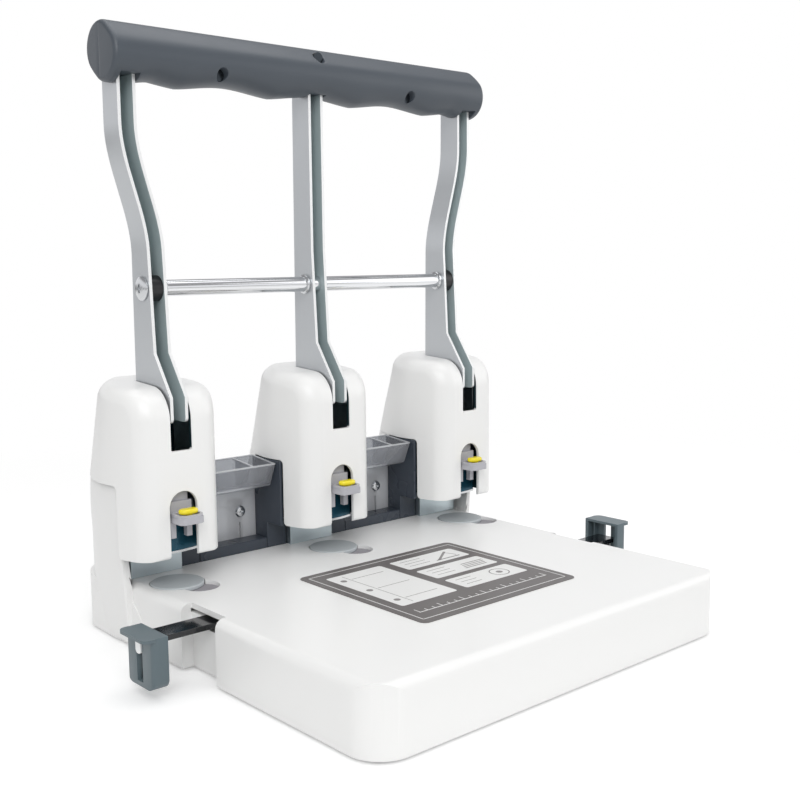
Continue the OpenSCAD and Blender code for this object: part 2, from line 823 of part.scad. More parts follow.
// Side of an arm: an upright leg that widens into the nose, with a round heel about the pivot
arm_side = concat(
  arc([pivot_y, pivot_z], nose_drop, 0, -90),
  arc([nose_y + nose_corner_r, nose_z + nose_corner_r], nose_corner_r, 270, 180),
  [[nose_y, nose_z + nose_h], [arm_front_low, nose_z + nose_h + nose_slant_h],
   [arm_front_top, arm_straight_z], [arm_front_top, arm_top], [arm_back_top, arm_top]]);

channel_side = [
  [0, 0], [arm_back_low - arm_t, 0], [arm_back_low - arm_t, pivot_z], [arm_back_top - arm_t, arm_top],
  [arm_back_top - arm_t, arm_top + overrun], [0, arm_top + overrun]];

module arm(side) color("#c3c7ca") from_front() {
  x = side * hole_pitch;
  difference() {
    intersection() {
      arm_ribbon(side, arm_w / 2);
      side_prism(2 * base_w) polygon(arm_side);
    }
    intersection() {
      arm_ribbon(side, arm_w / 2 - arm_t);
      side_prism(2 * base_w) polygon(channel_side);
    }
    translate([x - arm_w, pivot_y, pivot_z]) rotate([0, 90, 0])
      cylinder(d = pivot_d + 2 * fit, h = 2 * arm_w);
    translate([x, rod_y, rod_z]) rotate([0, side > 0 ? -90 : 90, 0])
      translate([0, 0, side == 0 ? -arm_w : 0]) cylinder(d = rod_d + 2 * fit, h = 2 * arm_w);
    translate([x - arm_w, rod_y, rod_z]) rotate([0, 90, 0])
      cylinder(d = rod_screw_d + 2 * fit, h = 2 * arm_w);
  }
}

module arm_l() arm(-1);
module arm_m() arm(0);
module arm_r() arm(1);

module cross_rod() color("#d5d7da") from_front() {
  translate([-hole_pitch, rod_y, rod_z]) rotate([0, 90, 0]) cylinder(d = rod_d, h = 2 * hole_pitch);
}

module rod_collars() color("#b4b7bb") from_front() {
  for (x = [arm_w / 2 - hole_pitch, -arm_w / 2 - collar_w, arm_w / 2, hole_pitch - arm_w / 2 - collar_w])
    translate([x, rod_y, rod_z]) rotate([0, 90, 0]) difference() {
      cylinder(d = collar_d, h = collar_w);
      translate([0, 0, -overrun]) cylinder(d = rod_d + 2 * fit, h = collar_w + 2 * overrun);
    }
}

// Bush inside an outer arm's channel: it holds the rod's end and the screw from outside
module rod_bush(side) color("#1b1c1e") from_front() {
  w = arm_w - 2 * arm_t - 2 * fit;
  translate([side * hole_pitch, rod_y, rod_z]) rotate([0, side * 90, 0]) difference() {
    translate([0, 0, -w / 2]) cylinder(d = bush_d, h = w);
    translate([0, 0, -w]) cylinder(d = rod_d + 2 * fit, h = w + fit);
    cylinder(d = rod_screw_d + 2 * fit, h = w);
  }
}

module rod_bush_l() rod_bush(-1);
module rod_bush_r() rod_bush(1);

module rod_screws() color("#c9ccd0") from_front() {
  for (side = [-1, 1])
    translate([side * hole_pitch, rod_y, rod_z]) rotate([0, side * 90, 0]) {
      translate([0, 0, 2 * fit]) cylinder(d = rod_screw_d, h = arm_w / 2);
      translate([0, 0, arm_w / 2]) cylinder(d = rod_screw_head_d, h = rod_screw_head_h);
    }
}

// Grip: an oval bar with finger waves along its underside, split into a front and a rear shell

module grip_section() {
  c = grip_oval / 2 * [cos(grip_tilt), sin(grip_tilt)];
  translate([grip_y, grip_z]) polygon(concat(
    arc(c, grip_d / 2, grip_tilt - 90, grip_tilt + 90),
    arc(-c, grip_d / 2, grip_tilt + 90, grip_tilt + 270)));
}

function wave_z(x) = grip_low + scallop_depth * (1 + cos(360 * x / scallop_pitch)) / 2;

module grip_front_outline() {
  r = grip_end_r;
  w = grip_len / 2;
  top = grip_z + grip_half_h;
  n = floor((w - r) / scallop_step);
  polygon(concat(
    arc([w - r, top - r], r, 0, 90), arc([r - w, top - r], r, 90, 180),
    arc([r - w, wave_z(w) + r], r, 180, 270),
    [for (i = [-n:n]) [i * scallop_step, wave_z(i * scallop_step)]],
    arc([w - r, wave_z(w) + r], r, 270, 360)));
}

module grip_body() {
  intersection() {
    side_prism(grip_len) grip_section();
    front_prism(0, base_depth) grip_front_outline();
    linear_extrude(2 * grip_z)
      round_rect(-grip_len / 2, grip_y - grip_half_d, grip_len / 2, grip_y + grip_half_d, grip_end_r);
  }
}

module arm_pockets() {
  for (side = [-1, 0, 1])
    translate([side * (hole_pitch + arm_crank), 0, 0]) {
      span_box(arm_w + 2 * seat_gap, arm_front_top - seat_gap, arm_back_top + arm_lean, 0,
               arm_top + seat_gap);
      span_box(arm_w + 2 * seat_gap, 0, grip_y, 0, grip_low + grip_notch_h);
    }
}

module grip_screw_holes() {
  for (p = grip_screw_places)
    translate([p[0], 0, p[1]]) rotate([-90, 0, 0]) {
      cylinder(d = grip_screw_recess_d, h = grip_screw_seat);
      cylinder(d = screw_d + 2 * fit, h = grip_screw_seat + grip_screw_len + seat_gap);
    }
}

module grip_shell(y0, y1) {
  difference() {
    intersection() {
      grip_body();
      span_box(grip_len, y0, y1, 0, 2 * grip_z);
    }
    arm_pockets();
    grip_screw_holes();
  }
}

module grip_front() color("#56616c") from_front() grip_shell(0, grip_split_y);
module grip_rear() color("#56616c") from_front() grip_shell(grip_split_y, base_depth);

module grip_screws() color("#3a3d41") from_front() {
  for (p = grip_screw_places)
    translate([p[0], grip_screw_seat, p[1]]) rotate([-90, 0, 0]) {
      cylinder(d = screw_d, h = grip_screw_len);
      translate([0, 0, -screw_head_h]) cylinder(d = grip_screw_head_d, h = screw_head_h);
    }
}

// Punching pins, each with the clip that releases it

module punch_pin(x) color("#8d949b") from_front() translate([x, pin_y, 0]) rotate_extrude() polygon(concat(
  [[0, pin_foot], [pin_d / 2, pin_foot], [pin_d / 2, clamp_top], [tappet_d / 2, clamp_top]],
  arc([tappet_d / 2 - tappet_round, tappet_top - tappet_round], tappet_round, 0, 90), [[0, tappet_top]]));

module punch_pin_l() punch_pin(head_x[0]);
module punch_pin_m() punch_pin(head_x[1]);
module punch_pin_r() punch_pin(head_x[2]);

module punch_clip(x) color("#b7bbbd") from_front() translate([x, 0, 0]) {
  back = clip_front + clip_t;
  difference() {
    union() {
      translate([0, 0, clip_shelf_z]) linear_extrude(clip_shelf_t)
        round_rect(-clip_shelf_w / 2, head_front - clip_shelf_out, clip_shelf_w / 2, back, clip_shelf_r);
      span_box(clip_w, clip_front, back, clip_shelf_z, clip_step_z);
      span_box(clip_w - 2 * clip_step, clip_front + clip_step, back, clip_shelf_z, clamp_top);
      span_box(clip_w, clip_front + clip_step, pin_y + tappet_d / 2, clamp_z, clamp_top);
      for (side = [-1, 1])
        translate([side * (clip_w - prong_w) / 2, 0, 0])
          span_box(prong_w, clip_front, clip_front + prong_t, clip_shelf_z - prong_h,
                   clip_shelf_z + overrun);
    }
    translate([0, pin_y, clamp_z - overrun]) cylinder(d = pin_d + 2 * fit, h = clamp_top);
    translate([0, button_y, clip_shelf_z - overrun])
      cylinder(d = button_stem_d + 2 * button_stem_gap, h = clip_shelf_t + 2 * overrun);
  }
}

module punch_clip_l() punch_clip(head_x[0]);
module punch_clip_m() punch_clip(head_x[1]);
module punch_clip_r() punch_clip(head_x[2]);

module clip_button(x) color("#f2e21c") from_front() translate([x, button_y, clip_shelf_z + clip_shelf_t]) {
  translate([0, 0, button_travel + seat_gap / 2]) linear_extrude(button_h)
    round_rect(-button_w / 2, -button_d / 2, button_w / 2, button_d / 2, button_d / 2 - fit);
  translate([0, 0, -clip_shelf_t / 2])
    cylinder(d = button_stem_d, h = clip_shelf_t / 2 + button_travel + button_h / 2);
}

module clip_button_l() clip_button(head_x[0]);
module clip_button_m() clip_button(head_x[1]);
module clip_button_r() clip_button(head_x[2]);

// Side guides

module guide_rail(side) color("#1c1d1f") from_front() guide_side(side) {
  translate([0, 0, rail_top]) difference() {
    translate([-rail_inner_end, -rail_w / 2, -rail_lip])
      cube([rail_tip + rail_inner_end, rail_w, rail_lip]);
    translate([-rail_inner_end - overrun, rail_t - rail_w / 2, -rail_lip - rail_t])
      cube([rail_tip + rail_inner_end + 2 * overrun, rail_w - 2 * rail_t, rail_lip]);
  }
  translate([rail_tip - rail_t, -tab_w / 2, rail_top - rail_t - tab_h])
    cube([stop_wall + seat_gap + rail_t + tab_out, tab_w, tab_h]);
}

module guide_rail_l() guide_rail(-1);
module guide_rail_r() guide_rail(1);

// End stop: a moulding that is open towards the table, with a slot for the rail's tab
module end_stop(side, lift) color("#5d6c72") from_front() guide_side(side)
  translate([stop_reach, 0, stop_bottom + lift]) {
    re = stop_edge_r;
    rib_y = rail_w / 2 + stop_wall / 2;
    difference() {
      intersection() {
        linear_extrude(stop_h) polygon(concat(
          [[0, -stop_w / 2]], arc([stop_t - re, re - stop_w / 2], re, -90, 0),
          arc([stop_t - re, stop_w / 2 - re], re, 0, 90), [[0, stop_w / 2]]));
        side_prism(4 * stop_t) polygon(concat(
          [[-stop_w / 2, stop_h], [stop_w / 2, stop_h]],
          reversed(arc([stop_w / 2 - stop_corner_r, stop_corner_r], stop_corner_r, -90, 0)),
          reversed(arc([stop_corner_r - stop_w / 2, stop_corner_r], stop_corner_r, 180, 270))));
      }
      translate([-overrun, stop_wall - stop_w / 2, stop_wall])
        cube([stop_t - stop_wall + overrun, stop_w - 2 * stop_wall, stop_h - stop_wall - stop_roof]);
      translate([0, -stop_slot_w / 2, stop_slot_foot])
        cube([stop_t + overrun, stop_slot_w, stop_h - stop_slot_foot - stop_roof - rail_t]);
    }
    for (y = [-rib_y, rib_y])
      translate([stop_t / 3, y - rail_t / 4, stop_wall - fit])
        cube([stop_t / 2, rail_t / 2, stop_h - stop_wall]);
    translate([0, 0, stop_h - lip_t]) linear_extrude(lip_t)
      round_rect(stop_t / 2, -stop_w / 2 - seat_gap, stop_t + lip_out, stop_w / 2 + seat_gap,
                 stop_corner_r);
  }

module end_stop_l() end_stop(-1, 0);
module end_stop_r() end_stop(1, right_stop_lift);

base_shell();
chip_pan();
feet();
label_panel();
head_cover_l();
head_cover_m();
head_cover_r();
punch_frame_l();
punch_frame_m();
punch_frame_r();
head_core_l();
head_core_m();
head_core_r();
guide_sleeve_l();
guide_sleeve_m();
guide_sleeve_r();
die_seat_l();
die_seat_m();
die_seat_r();
pivot_pin_l();
pivot_pin_m();
pivot_pin_r();
lever_spring_l();
lever_spring_m();
lever_spring_r();
rear_sills();
guard_l();
guard_r();
guard_screws();
arm_l();
arm_m();
arm_r();
grip_front();
grip_rear();
grip_screws();
cross_rod();
rod_collars();
rod_bush_l();
rod_bush_r();
rod_screws();
punch_pin_l();
punch_pin_m();
punch_pin_r();
punch_clip_l();
punch_clip_m();
punch_clip_r();
clip_button_l();
clip_button_m();
clip_button_r();
die_disc_l();
die_disc_m();
die_disc_r();
guide_rail_l();
guide_rail_r();
end_stop_l();
end_stop_r();
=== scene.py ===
"""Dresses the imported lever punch: moulded, plated and printed finishes, soft edges and small parts.

Laid out as an add-on and run as a script. Lengths in the shape functions are in millimetres, and
depths are counted from the front edge of the base, as on the real part.
"""

import json
import math

import bmesh
import bpy
from bpy.props import FloatProperty, FloatVectorProperty, PointerProperty
from mathutils import Matrix, Vector


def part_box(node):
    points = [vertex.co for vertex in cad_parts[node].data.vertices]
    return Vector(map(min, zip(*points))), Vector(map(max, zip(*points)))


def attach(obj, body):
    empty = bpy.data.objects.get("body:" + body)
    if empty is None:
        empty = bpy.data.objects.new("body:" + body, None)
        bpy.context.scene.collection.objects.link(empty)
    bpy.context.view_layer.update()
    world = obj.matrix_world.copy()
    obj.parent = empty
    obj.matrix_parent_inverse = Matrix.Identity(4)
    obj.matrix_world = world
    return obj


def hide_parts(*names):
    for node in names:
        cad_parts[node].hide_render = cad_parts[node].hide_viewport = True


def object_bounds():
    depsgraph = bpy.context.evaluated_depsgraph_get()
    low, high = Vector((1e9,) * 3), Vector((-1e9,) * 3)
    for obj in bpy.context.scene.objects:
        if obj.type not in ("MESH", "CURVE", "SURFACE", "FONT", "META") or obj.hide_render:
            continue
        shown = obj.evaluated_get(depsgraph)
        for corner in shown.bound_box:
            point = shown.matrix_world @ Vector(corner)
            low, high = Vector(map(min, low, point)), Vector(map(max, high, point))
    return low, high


bl_info = {
    "name": "Lever punch dressing",
    "version": (1, 0, 0),
    "blender": (4, 5, 0),
    "location": "3D View > Sidebar > Punch",
    "description": "Finishes, soft edges and small parts for a three-hole lever punch",
    "category": "Object",
}

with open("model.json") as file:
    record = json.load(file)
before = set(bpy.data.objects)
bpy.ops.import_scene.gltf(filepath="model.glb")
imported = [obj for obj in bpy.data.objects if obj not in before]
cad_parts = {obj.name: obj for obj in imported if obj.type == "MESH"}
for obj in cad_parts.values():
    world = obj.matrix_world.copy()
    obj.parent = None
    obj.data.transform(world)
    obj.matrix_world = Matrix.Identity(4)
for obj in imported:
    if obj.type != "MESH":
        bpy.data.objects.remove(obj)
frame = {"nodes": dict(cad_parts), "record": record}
CAD_LOW, CAD_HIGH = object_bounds()
NODES = frame["nodes"]
MM = 0.001
FRONT = CAD_LOW.y
SIDES = ("l", "m", "r")
HEADS = {"l": -108, "m": 0, "r": 108}

# Materials


def linear(code):
    """Turns an sRGB hex colour into linear red, green, blue and alpha."""
    parts = [int(code[i:i + 2], 16) / 255 for i in (1, 3, 5)]
    return tuple(c / 12.92 if c <= 0.04045 else ((c + 0.055) / 1.055) ** 2.4 for c in parts) + (1.0,)


def colour_of(code):
    """A colour as linear red, green, blue and alpha, from a hex code or from a panel's colour."""
    return linear(code) if isinstance(code, str) else (*code[:3], 1.0)


def add(tree, kind, links=(), **settings):
    """Adds a shader node, sets its properties and sockets, and links its inputs."""
    node = tree.nodes.new("ShaderNode" + kind)
    for key, value in settings.items():
        if hasattr(node, key):
            setattr(node, key, value)
        else:
            node.inputs[key.replace("_", " ")].default_value = value
    for socket, source in dict(links).items():
        tree.links.new(source, node.inputs[socket])
    return node


def blank(name):
    """Makes an empty node material and returns it with its tree and its output node."""
    made = bpy.data.materials.new(name)
    made.use_nodes = True
    made.node_tree.nodes.clear()
    return made, made.node_tree, add(made.node_tree, "OutputMaterial")


def principled(name, colour, roughness, grain=None, uneven=0.0, metallic=0.0, ior=1.5, coat=0.0, wear=0.0):
    """A plastic, paint or metal with a grain of (size, depth) in mm and a slight unevenness of its gloss."""
    made, tree, out = blank(name)
    colour = colour_of(colour)
    shader = add(tree, "BsdfPrincipled", Base_Color=colour, Roughness=roughness, Metallic=metallic,
                 Coat_Weight=coat, Coat_Roughness=0.1)
    if metallic < 0.5:
        shader.inputs["IOR"].default_value = ior
    place = add(tree, "TexCoord").outputs["Object"]
    if uneven:
        cloud = add(tree, "TexNoise", {"Vector": place}, Scale=22.0, Detail=3.0)
        spread = add(tree, "MapRange", {"Value": cloud.outputs["Fac"]}, From_Min=0.3, From_Max=0.7,
                     To_Min=roughness - uneven, To_Max=roughness + uneven)
        tree.links.new(spread.outputs["Result"], shader.inputs["Roughness"])
    if wear:
        patch = add(tree, "TexNoise", {"Vector": place}, Scale=9.0, Detail=2.0)
        darker, lighter = ((*(Vector(colour[:3]) * (1 + change)), 1) for change in (-wear, wear))
        shade = add(tree, "MixRGB", {"Fac": patch.outputs["Fac"]}, Color1=darker, Color2=lighter)
        tree.links.new(shade.outputs["Color"], shader.inputs["Base Color"])
    if grain:
        size, depth = grain
        bumps = add(tree, "TexNoise", {"Vector": place}, Scale=1 / (size * MM * 3), Detail=2.0)
        relief = add(tree, "Bump", {"Height": bumps.outputs["Fac"]}, Strength=0.35, Distance=depth * MM)
        tree.links.new(relief.outputs["Normal"], shader.inputs["Normal"])
    tree.links.new(shader.outputs["BSDF"], out.inputs["Surface"])
    return made


def clear(name, colour, opacity, roughness):
    """A tinted clear plastic: mostly seen through, with a gloss that grows towards its edges."""
    made, tree, out = blank(name)
    shader = add(tree, "BsdfPrincipled", Base_Color=colour_of(colour), Roughness=roughness, IOR=1.58)
    tint = add(tree, "BsdfTransparent", Color=linear("#dcdee1"))
    edge = add(tree, "LayerWeight", Blend=0.15)
    share = add(tree, "MapRange", {"Value": edge.outputs["Facing"]}, To_Min=opacity, To_Max=0.7)
    mixed = add(tree, "MixShader", {"Fac": share.outputs["Result"], 1: tint.outputs["BSDF"],
                                    2: shader.outputs["BSDF"]})
    tree.links.new(mixed.outputs["Shader"], out.inputs["Surface"])
    return made


def brushed(name, colour, roughness, streak_mm, along):
    """A sheet or rod whose polish runs in fine streaks along one axis."""
    made = principled(name, colour, roughness, metallic=1.0)
    tree = made.node_tree
    shader = next(n for n in tree.nodes if n.type == "BSDF_PRINCIPLED")
    place = next(n for n in tree.nodes if n.type == "TEX_COORD").outputs["Object"]
    pitch = 1 / (streak_mm * MM)
    scale = [pitch / 60 if axis == along else pitch for axis in "XYZ"]
    stretch = add(tree, "Mapping", {"Vector": place}, Scale=scale)
    streak = add(tree, "TexNoise", {"Vector": stretch.outputs["Vector"]}, Scale=1.0, Detail=2.0)
    spread = add(tree, "MapRange", {"Value": streak.outputs["Fac"]}, To_Min=roughness * 0.7,
                 To_Max=roughness * 1.4)
    tree.links.new(spread.outputs["Result"], shader.inputs["Roughness"])
    relief = add(tree, "Bump", {"Height": streak.outputs["Fac"]}, Strength=0.08, Distance=0.02 * MM)
    tree.links.new(relief.outputs["Normal"], shader.inputs["Normal"])
    return made


# Finishes: most are named for the real one, a few paint shade or highlight and are named for that, and each
# comment says what it gives the eye

FINISH = {}


def make_finishes(look):
    """Makes every finish from the colours that the user can change."""
    def finish(make, name, *values, **more):
        FINISH[name] = make(name, *values, **more)

    # ABS from a polished mould: bright white with a soft sheen and a hardly visible grain
    finish(principled, "moulded_white_abs", look.shell, 0.36, (0.5, 0.02), 0.05, ior=1.53, coat=0.12)
    # Glass-filled nylon from a spark-eroded mould: dark slate with a broad, dull highlight
    finish(principled, "moulded_slate_nylon", look.grip, 0.42, (0.35, 0.06), 0.06, ior=1.53)
    # Silver lacquer on pressed steel: pale grey with the glitter of fine flake
    finish(principled, "silver_lacquered_steel", look.arms, 0.34, (0.25, 0.02), 0.05, metallic=0.55)
    # Darker grey-green on the inside of the pressed channels: flat
    finish(principled, "grey_primer", "#b0bdbf", 0.46, (0.3, 0.03))
    # Painted shade: a dark, slightly blue, half matt coat on the covers' white insides and on the window
    # cheeks, which darkens the windows and arm slots as their shade would
    finish(principled, "teal_primer", "#1f353d", 0.36, (0.3, 0.03))
    # Blued sheet of the sleeve guards: a clear petrol blue under oil
    finish(principled, "blued_sheet", "#205468", 0.24, uneven=0.06, metallic=0.35)
    # Painted highlight: near-white lacquer on the arms' front-facing edges and on the rails' end tabs, where
    # light catches them
    finish(principled, "burnished_edge", "#f1f2f2", 0.3, uneven=0.04, metallic=0.2)
    # Bright chrome plate: mirrors its surroundings
    finish(brushed, "chromed_rod", "#e2e3e5", 0.09, 0.4, "X")
    # Bright zinc plate on turned screws and collars: clean, slightly cloudy mirror
    finish(principled, "bright_zinc_plate", "#cfd1d3", 0.22, uneven=0.05, metallic=1.0)
    # Blue-passivated zinc on folded sheet: pale blue-grey, softly brushed
    finish(brushed, "passivated_sheet", "#c3ced2", 0.36, 0.3, "X")
    # Blued and polished tool steel: deep petrol blue with sharp glints
    finish(brushed, "blued_tool_steel", "#1c4258", 0.16, 0.35, "Z")
    # Ground steel of the pins: bright, with turning marks
    finish(brushed, "ground_steel", "#9aa0a5", 0.2, 0.3, "X")
    # Oiled spring wire: dark and slick
    finish(principled, "oiled_spring_wire", "#3d4247", 0.26, uneven=0.06, metallic=1.0)
    # Black acetal bushes: almost no detail, a small sheen
    finish(principled, "black_acetal", "#141517", 0.34, (0.3, 0.02))
    # Dark ABS of the inner housings: satin, slightly blue
    finish(principled, "dark_abs", "#39404a", 0.3, (0.5, 0.02), 0.06)
    # Light grey ABS of the release clips: even, with a soft sheen
    finish(principled, "light_grey_abs", "#b6b6bc", 0.33, (0.4, 0.02), 0.05)
    # Yellow polystyrene: saturated, with a hard gloss
    finish(principled, "yellow_polystyrene", look.button, 0.28, uneven=0.03, coat=0.2)
    # Polyamide cutting discs: mid grey and matt, scuffed by the punches
    finish(principled, "grey_polyamide", "#bcc2c5", 0.5, (0.4, 0.03), 0.08, wear=0.05)
    # Painted shade: the disc seats' pocket and finger scoop in a darker, dull grey, as the shade in the
    # recess
    finish(principled, "dark_grey_liner", "#9a979d", 0.48, (0.4, 0.03))
    # Gloss black stove enamel on the rails: deep black with clear reflections
    finish(principled, "black_stove_enamel", "#101216", 0.16, uneven=0.03, coat=0.5)
    # Blue-grey ABS of the end stops: satin
    finish(principled, "slate_blue_abs", look.stops, 0.36, (0.4, 0.03), 0.05)
    # Printed polyester film: dull dark grey
    finish(principled, "printed_film", "#666261", 0.4, (0.3, 0.01))
    # White ink on the film: slightly raised and matt
    finish(principled, "white_ink", "#e9e9e8", 0.45, (0.2, 0.01))
    # Grey ink of the drawn lines: matt
    finish(principled, "grey_ink", "#8b8887", 0.45, (0.2, 0.01))
    # Rubber of the feet: black and dull
    finish(principled, "moulded_rubber", "#222325", 0.7, (0.6, 0.08))
    # Black polypropylene tray: waxy and slightly rough
    finish(principled, "black_polypropylene", "#33363a", 0.5, (0.5, 0.04))
    # Frosted polycarbonate panels: pale and half clear, with a blurred gloss
    finish(clear, "frosted_polycarbonate", "#dcdde0", 0.55, 0.22)
    # Guard rims in a paler, more opaque clear plastic than the basins: a painted highlight along their edges
    finish(clear, "polished_edge", "#dfe1e4", 0.62, 0.05)
    # Smoked polycarbonate basins on top of the guards, clearer than the panels
    finish(clear, "smoked_polycarbonate", "#b9bbc0", 0.3, 0.06)


DRESS = {
    "base_shell": "moulded_white_abs", "head_cover": "moulded_white_abs", "chip_pan": "black_polypropylene",
    "feet": "moulded_rubber", "label_panel": "printed_film", "punch_frame": "passivated_sheet",
    "head_core": "dark_abs", "rear_sills": "dark_abs", "guide_sleeve": "blued_tool_steel",
    "die_seat": "dark_grey_liner", "die_disc": "grey_polyamide", "pivot_pin": "ground_steel",
    "lever_spring": "oiled_spring_wire", "guard": "smoked_polycarbonate", "guard_screws": "bright_zinc_plate",
    "arm": "silver_lacquered_steel", "grip_front": "moulded_slate_nylon", "grip_rear": "moulded_slate_nylon",
    "grip_screws": "oiled_spring_wire", "cross_rod": "chromed_rod", "rod_collars": "bright_zinc_plate",
    "rod_bush": "black_acetal", "rod_screws": "bright_zinc_plate", "punch_pin": "blued_tool_steel",
    "punch_clip": "light_grey_abs", "clip_button": "yellow_polystyrene", "guide_rail": "black_stove_enamel",
    "end_stop": "slate_blue_abs",
}
SLOT = {row["node"]: row["material_slot"] for row in frame["record"]["subparts"]}
BODY = {node: body for body, group in frame["record"]["behaviour"]["bodies"].items() for node in group}


def stem(node):
    """A node's name without the letter of its side."""
    return node[:-2] if node[:-2] in DRESS else node


def paint(piece, finish):
    """Gives a piece one finish."""
    piece.data.materials.clear()
    piece.data.materials.append(FINISH[finish])


def lined(piece, finish, pick):
    """Gives the faces that a test picks another finish."""
    piece.data.materials.append(FINISH[finish])
    for face in piece.data.polygons:
        if pick(face):
            face.material_index = len(piece.data.materials) - 1


# Modelling steps


def only(piece):
    """Selects one piece alone and makes it the active one."""
    bpy.ops.object.select_all(action="DESELECT")
    piece.select_set(True)
    bpy.context.view_layer.objects.active = piece


def edit(piece, pick=None, kind="FACE"):
    """Opens a piece for editing with only the chosen faces, edges or corners selected."""
    only(piece)
    bpy.ops.object.mode_set(mode="EDIT")
    bpy.ops.mesh.select_mode(type=kind)
    bpy.ops.mesh.select_all(action="DESELECT" if pick else "SELECT")
    if pick:
        mesh = bmesh.from_edit_mesh(piece.data)
        items = {"FACE": mesh.faces, "EDGE": mesh.edges, "VERT": mesh.verts}[kind]
        for item in items:
            item.select_set(bool(pick(item)))
        mesh.select_flush_mode()
        bmesh.update_edit_mesh(piece.data)


def closed():
    """Leaves edit mode."""
    bpy.ops.object.mode_set(mode="OBJECT")


def faced_out(piece):
    """Turns all faces of a closed piece outwards."""
    edit(piece)
    bpy.ops.mesh.normals_make_consistent(inside=False)
    closed()


def modifier(piece, kind, **settings):
    """Adds a modifier with its settings and applies it."""
    only(piece)
    made = piece.modifiers.new(kind.title(), kind)
    for key, value in settings.items():
        setattr(made, key, value)
    bpy.ops.object.modifier_apply(modifier=made.name)


def bevel(piece, width, angle, segments=2, **more):
    """Rounds the edges that turn by more than an angle, over a width in mm."""
    modifier(piece, "BEVEL", width=width * MM, segments=segments, limit_method="ANGLE",
             angle_limit=math.radians(angle), **more)


def settle(piece):
    """Moves a piece's place into its mesh, so that its object stands at the origin."""
    only(piece)
    bpy.ops.object.transform_apply(location=True, rotation=True, scale=True)


def smooth(piece, degrees=35):
    """Shades a piece smoothly but for its sharp edges."""
    only(piece)
    bpy.ops.object.shade_smooth_by_angle(angle=math.radians(degrees))


def even_out(piece, degrees=35):
    """Shades a piece smoothly and lets its large faces stay flat to the eye."""
    smooth(piece, degrees)
    modifier(piece, "WEIGHTED_NORMAL", weight=60, keep_sharp=True)


def named(piece, name, finish, body, slot, stands_for=()):
    """Names a finished piece, paints it and says what it rides on and stands for."""
    settle(piece)
    piece.name = name
    piece.data.name = name
    paint(piece, finish)
    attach(piece, body)
    if stands_for:
        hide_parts(*stands_for)
    return piece


def stands(piece, node, name):
    """Names and paints a piece that stands for a node."""
    return named(piece, name, DRESS[stem(node)], BODY[node], SLOT[node], (node,))


def twin(piece, shift=(0, 0, 0)):
    """Copies a piece with its own mesh and moves the copy."""
    only(piece)
    bpy.ops.object.duplicate(linked=False)
    copy = bpy.context.active_object
    copy.location = shift
    settle(copy)
    return copy


def copied(node):
    """Copies a node and joins its loose triangles."""
    copy = bpy.data.objects.new(node, NODES[node].data.copy())
    bpy.context.scene.collection.objects.link(copy)
    edit(copy, kind="VERT")
    bpy.ops.mesh.remove_doubles(threshold=0.004 * MM)
    bpy.ops.mesh.dissolve_limited(angle_limit=math.radians(1.2))
    closed()
    return copy


def softened(node, width):
    """Copies a node and rounds its sharp edges, to stand for the node."""
    copy = copied(node)
    bevel(copy, width, 28, 3, miter_outer="MITER_ARC")
    even_out(copy, 32)
    return stands(copy, node, node + "_soft")


def at(x, y, z):
    """A place in the frame from millimetres, with its depth counted from the base's front edge."""
    return Vector((x * MM, FRONT + y * MM, z * MM))


def middle_of(node):
    """The middle of a node's box in mm, with its depth counted from the base's front edge."""
    low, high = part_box(node)
    return (low.x + high.x) / 2 / MM, ((low.y + high.y) / 2 - FRONT) / MM, (low.z + high.z) / 2 / MM


def place_of(face, x=0):
    """The middle of a face in mm from a place across, with its depth counted from the base's front edge."""
    spot = face.center / MM
    return spot.x - x, spot.y - FRONT / MM, spot.z


def box_of(first, second):
    """A box between two corners, to shape or to cut with."""
    low, high = (at(*map(pick, first, second)) for pick in (min, max))
    bpy.ops.mesh.primitive_cube_add(size=1, location=(low + high) / 2, scale=high - low)
    piece = bpy.context.active_object
    settle(piece)
    return piece


def rod_of(radius, length, middle, axis, sides):
    """A round bar about its middle along one axis."""
    turn = {"X": (0, math.pi / 2, 0), "Y": (math.pi / 2, 0, 0), "Z": (0, 0, 0)}[axis]
    bpy.ops.mesh.primitive_cylinder_add(vertices=sides, radius=radius * MM, depth=length * MM,
                                        location=at(*middle), rotation=turn)
    piece = bpy.context.active_object
    settle(piece)
    return piece


def arc_of(x, y, radius, start, end, steps=8):
    """Points along an arc between two angles in degrees."""
    turns = [math.radians(start + (end - start) * i / steps) for i in range(steps + 1)]
    return [(x + radius * math.cos(t), y + radius * math.sin(t)) for t in turns]


def rounded(x0, y0, x1, y1, radius, steps=6):
    """Points of a rectangle with rounded corners."""
    centres = ((x1 - radius, y1 - radius), (x0 + radius, y1 - radius), (x0 + radius, y0 + radius),
               (x1 - radius, y0 + radius))
    return [point for turn, (x, y) in enumerate(centres)
            for point in arc_of(x, y, radius, turn * 90, turn * 90 + 90, steps)]


def chain(places):
    """Draws a line of edges from place to place and leaves it open for editing."""
    bpy.ops.mesh.primitive_plane_add(size=1, location=(0, 0, 0))
    piece = bpy.context.active_object
    edit(piece, lambda v: v.index > 0, "VERT")
    bpy.ops.mesh.delete(type="VERT")
    mesh = bmesh.from_edit_mesh(piece.data)
    mesh.verts.ensure_lookup_table()
    mesh.verts[0].co = places[0]
    bpy.ops.mesh.select_all(action="SELECT")
    for last, place in zip(places, places[1:]):
        bpy.ops.mesh.extrude_region_move(TRANSFORM_OT_translate={"value": place - last})
    bpy.ops.mesh.select_all(action="SELECT")
    return piece


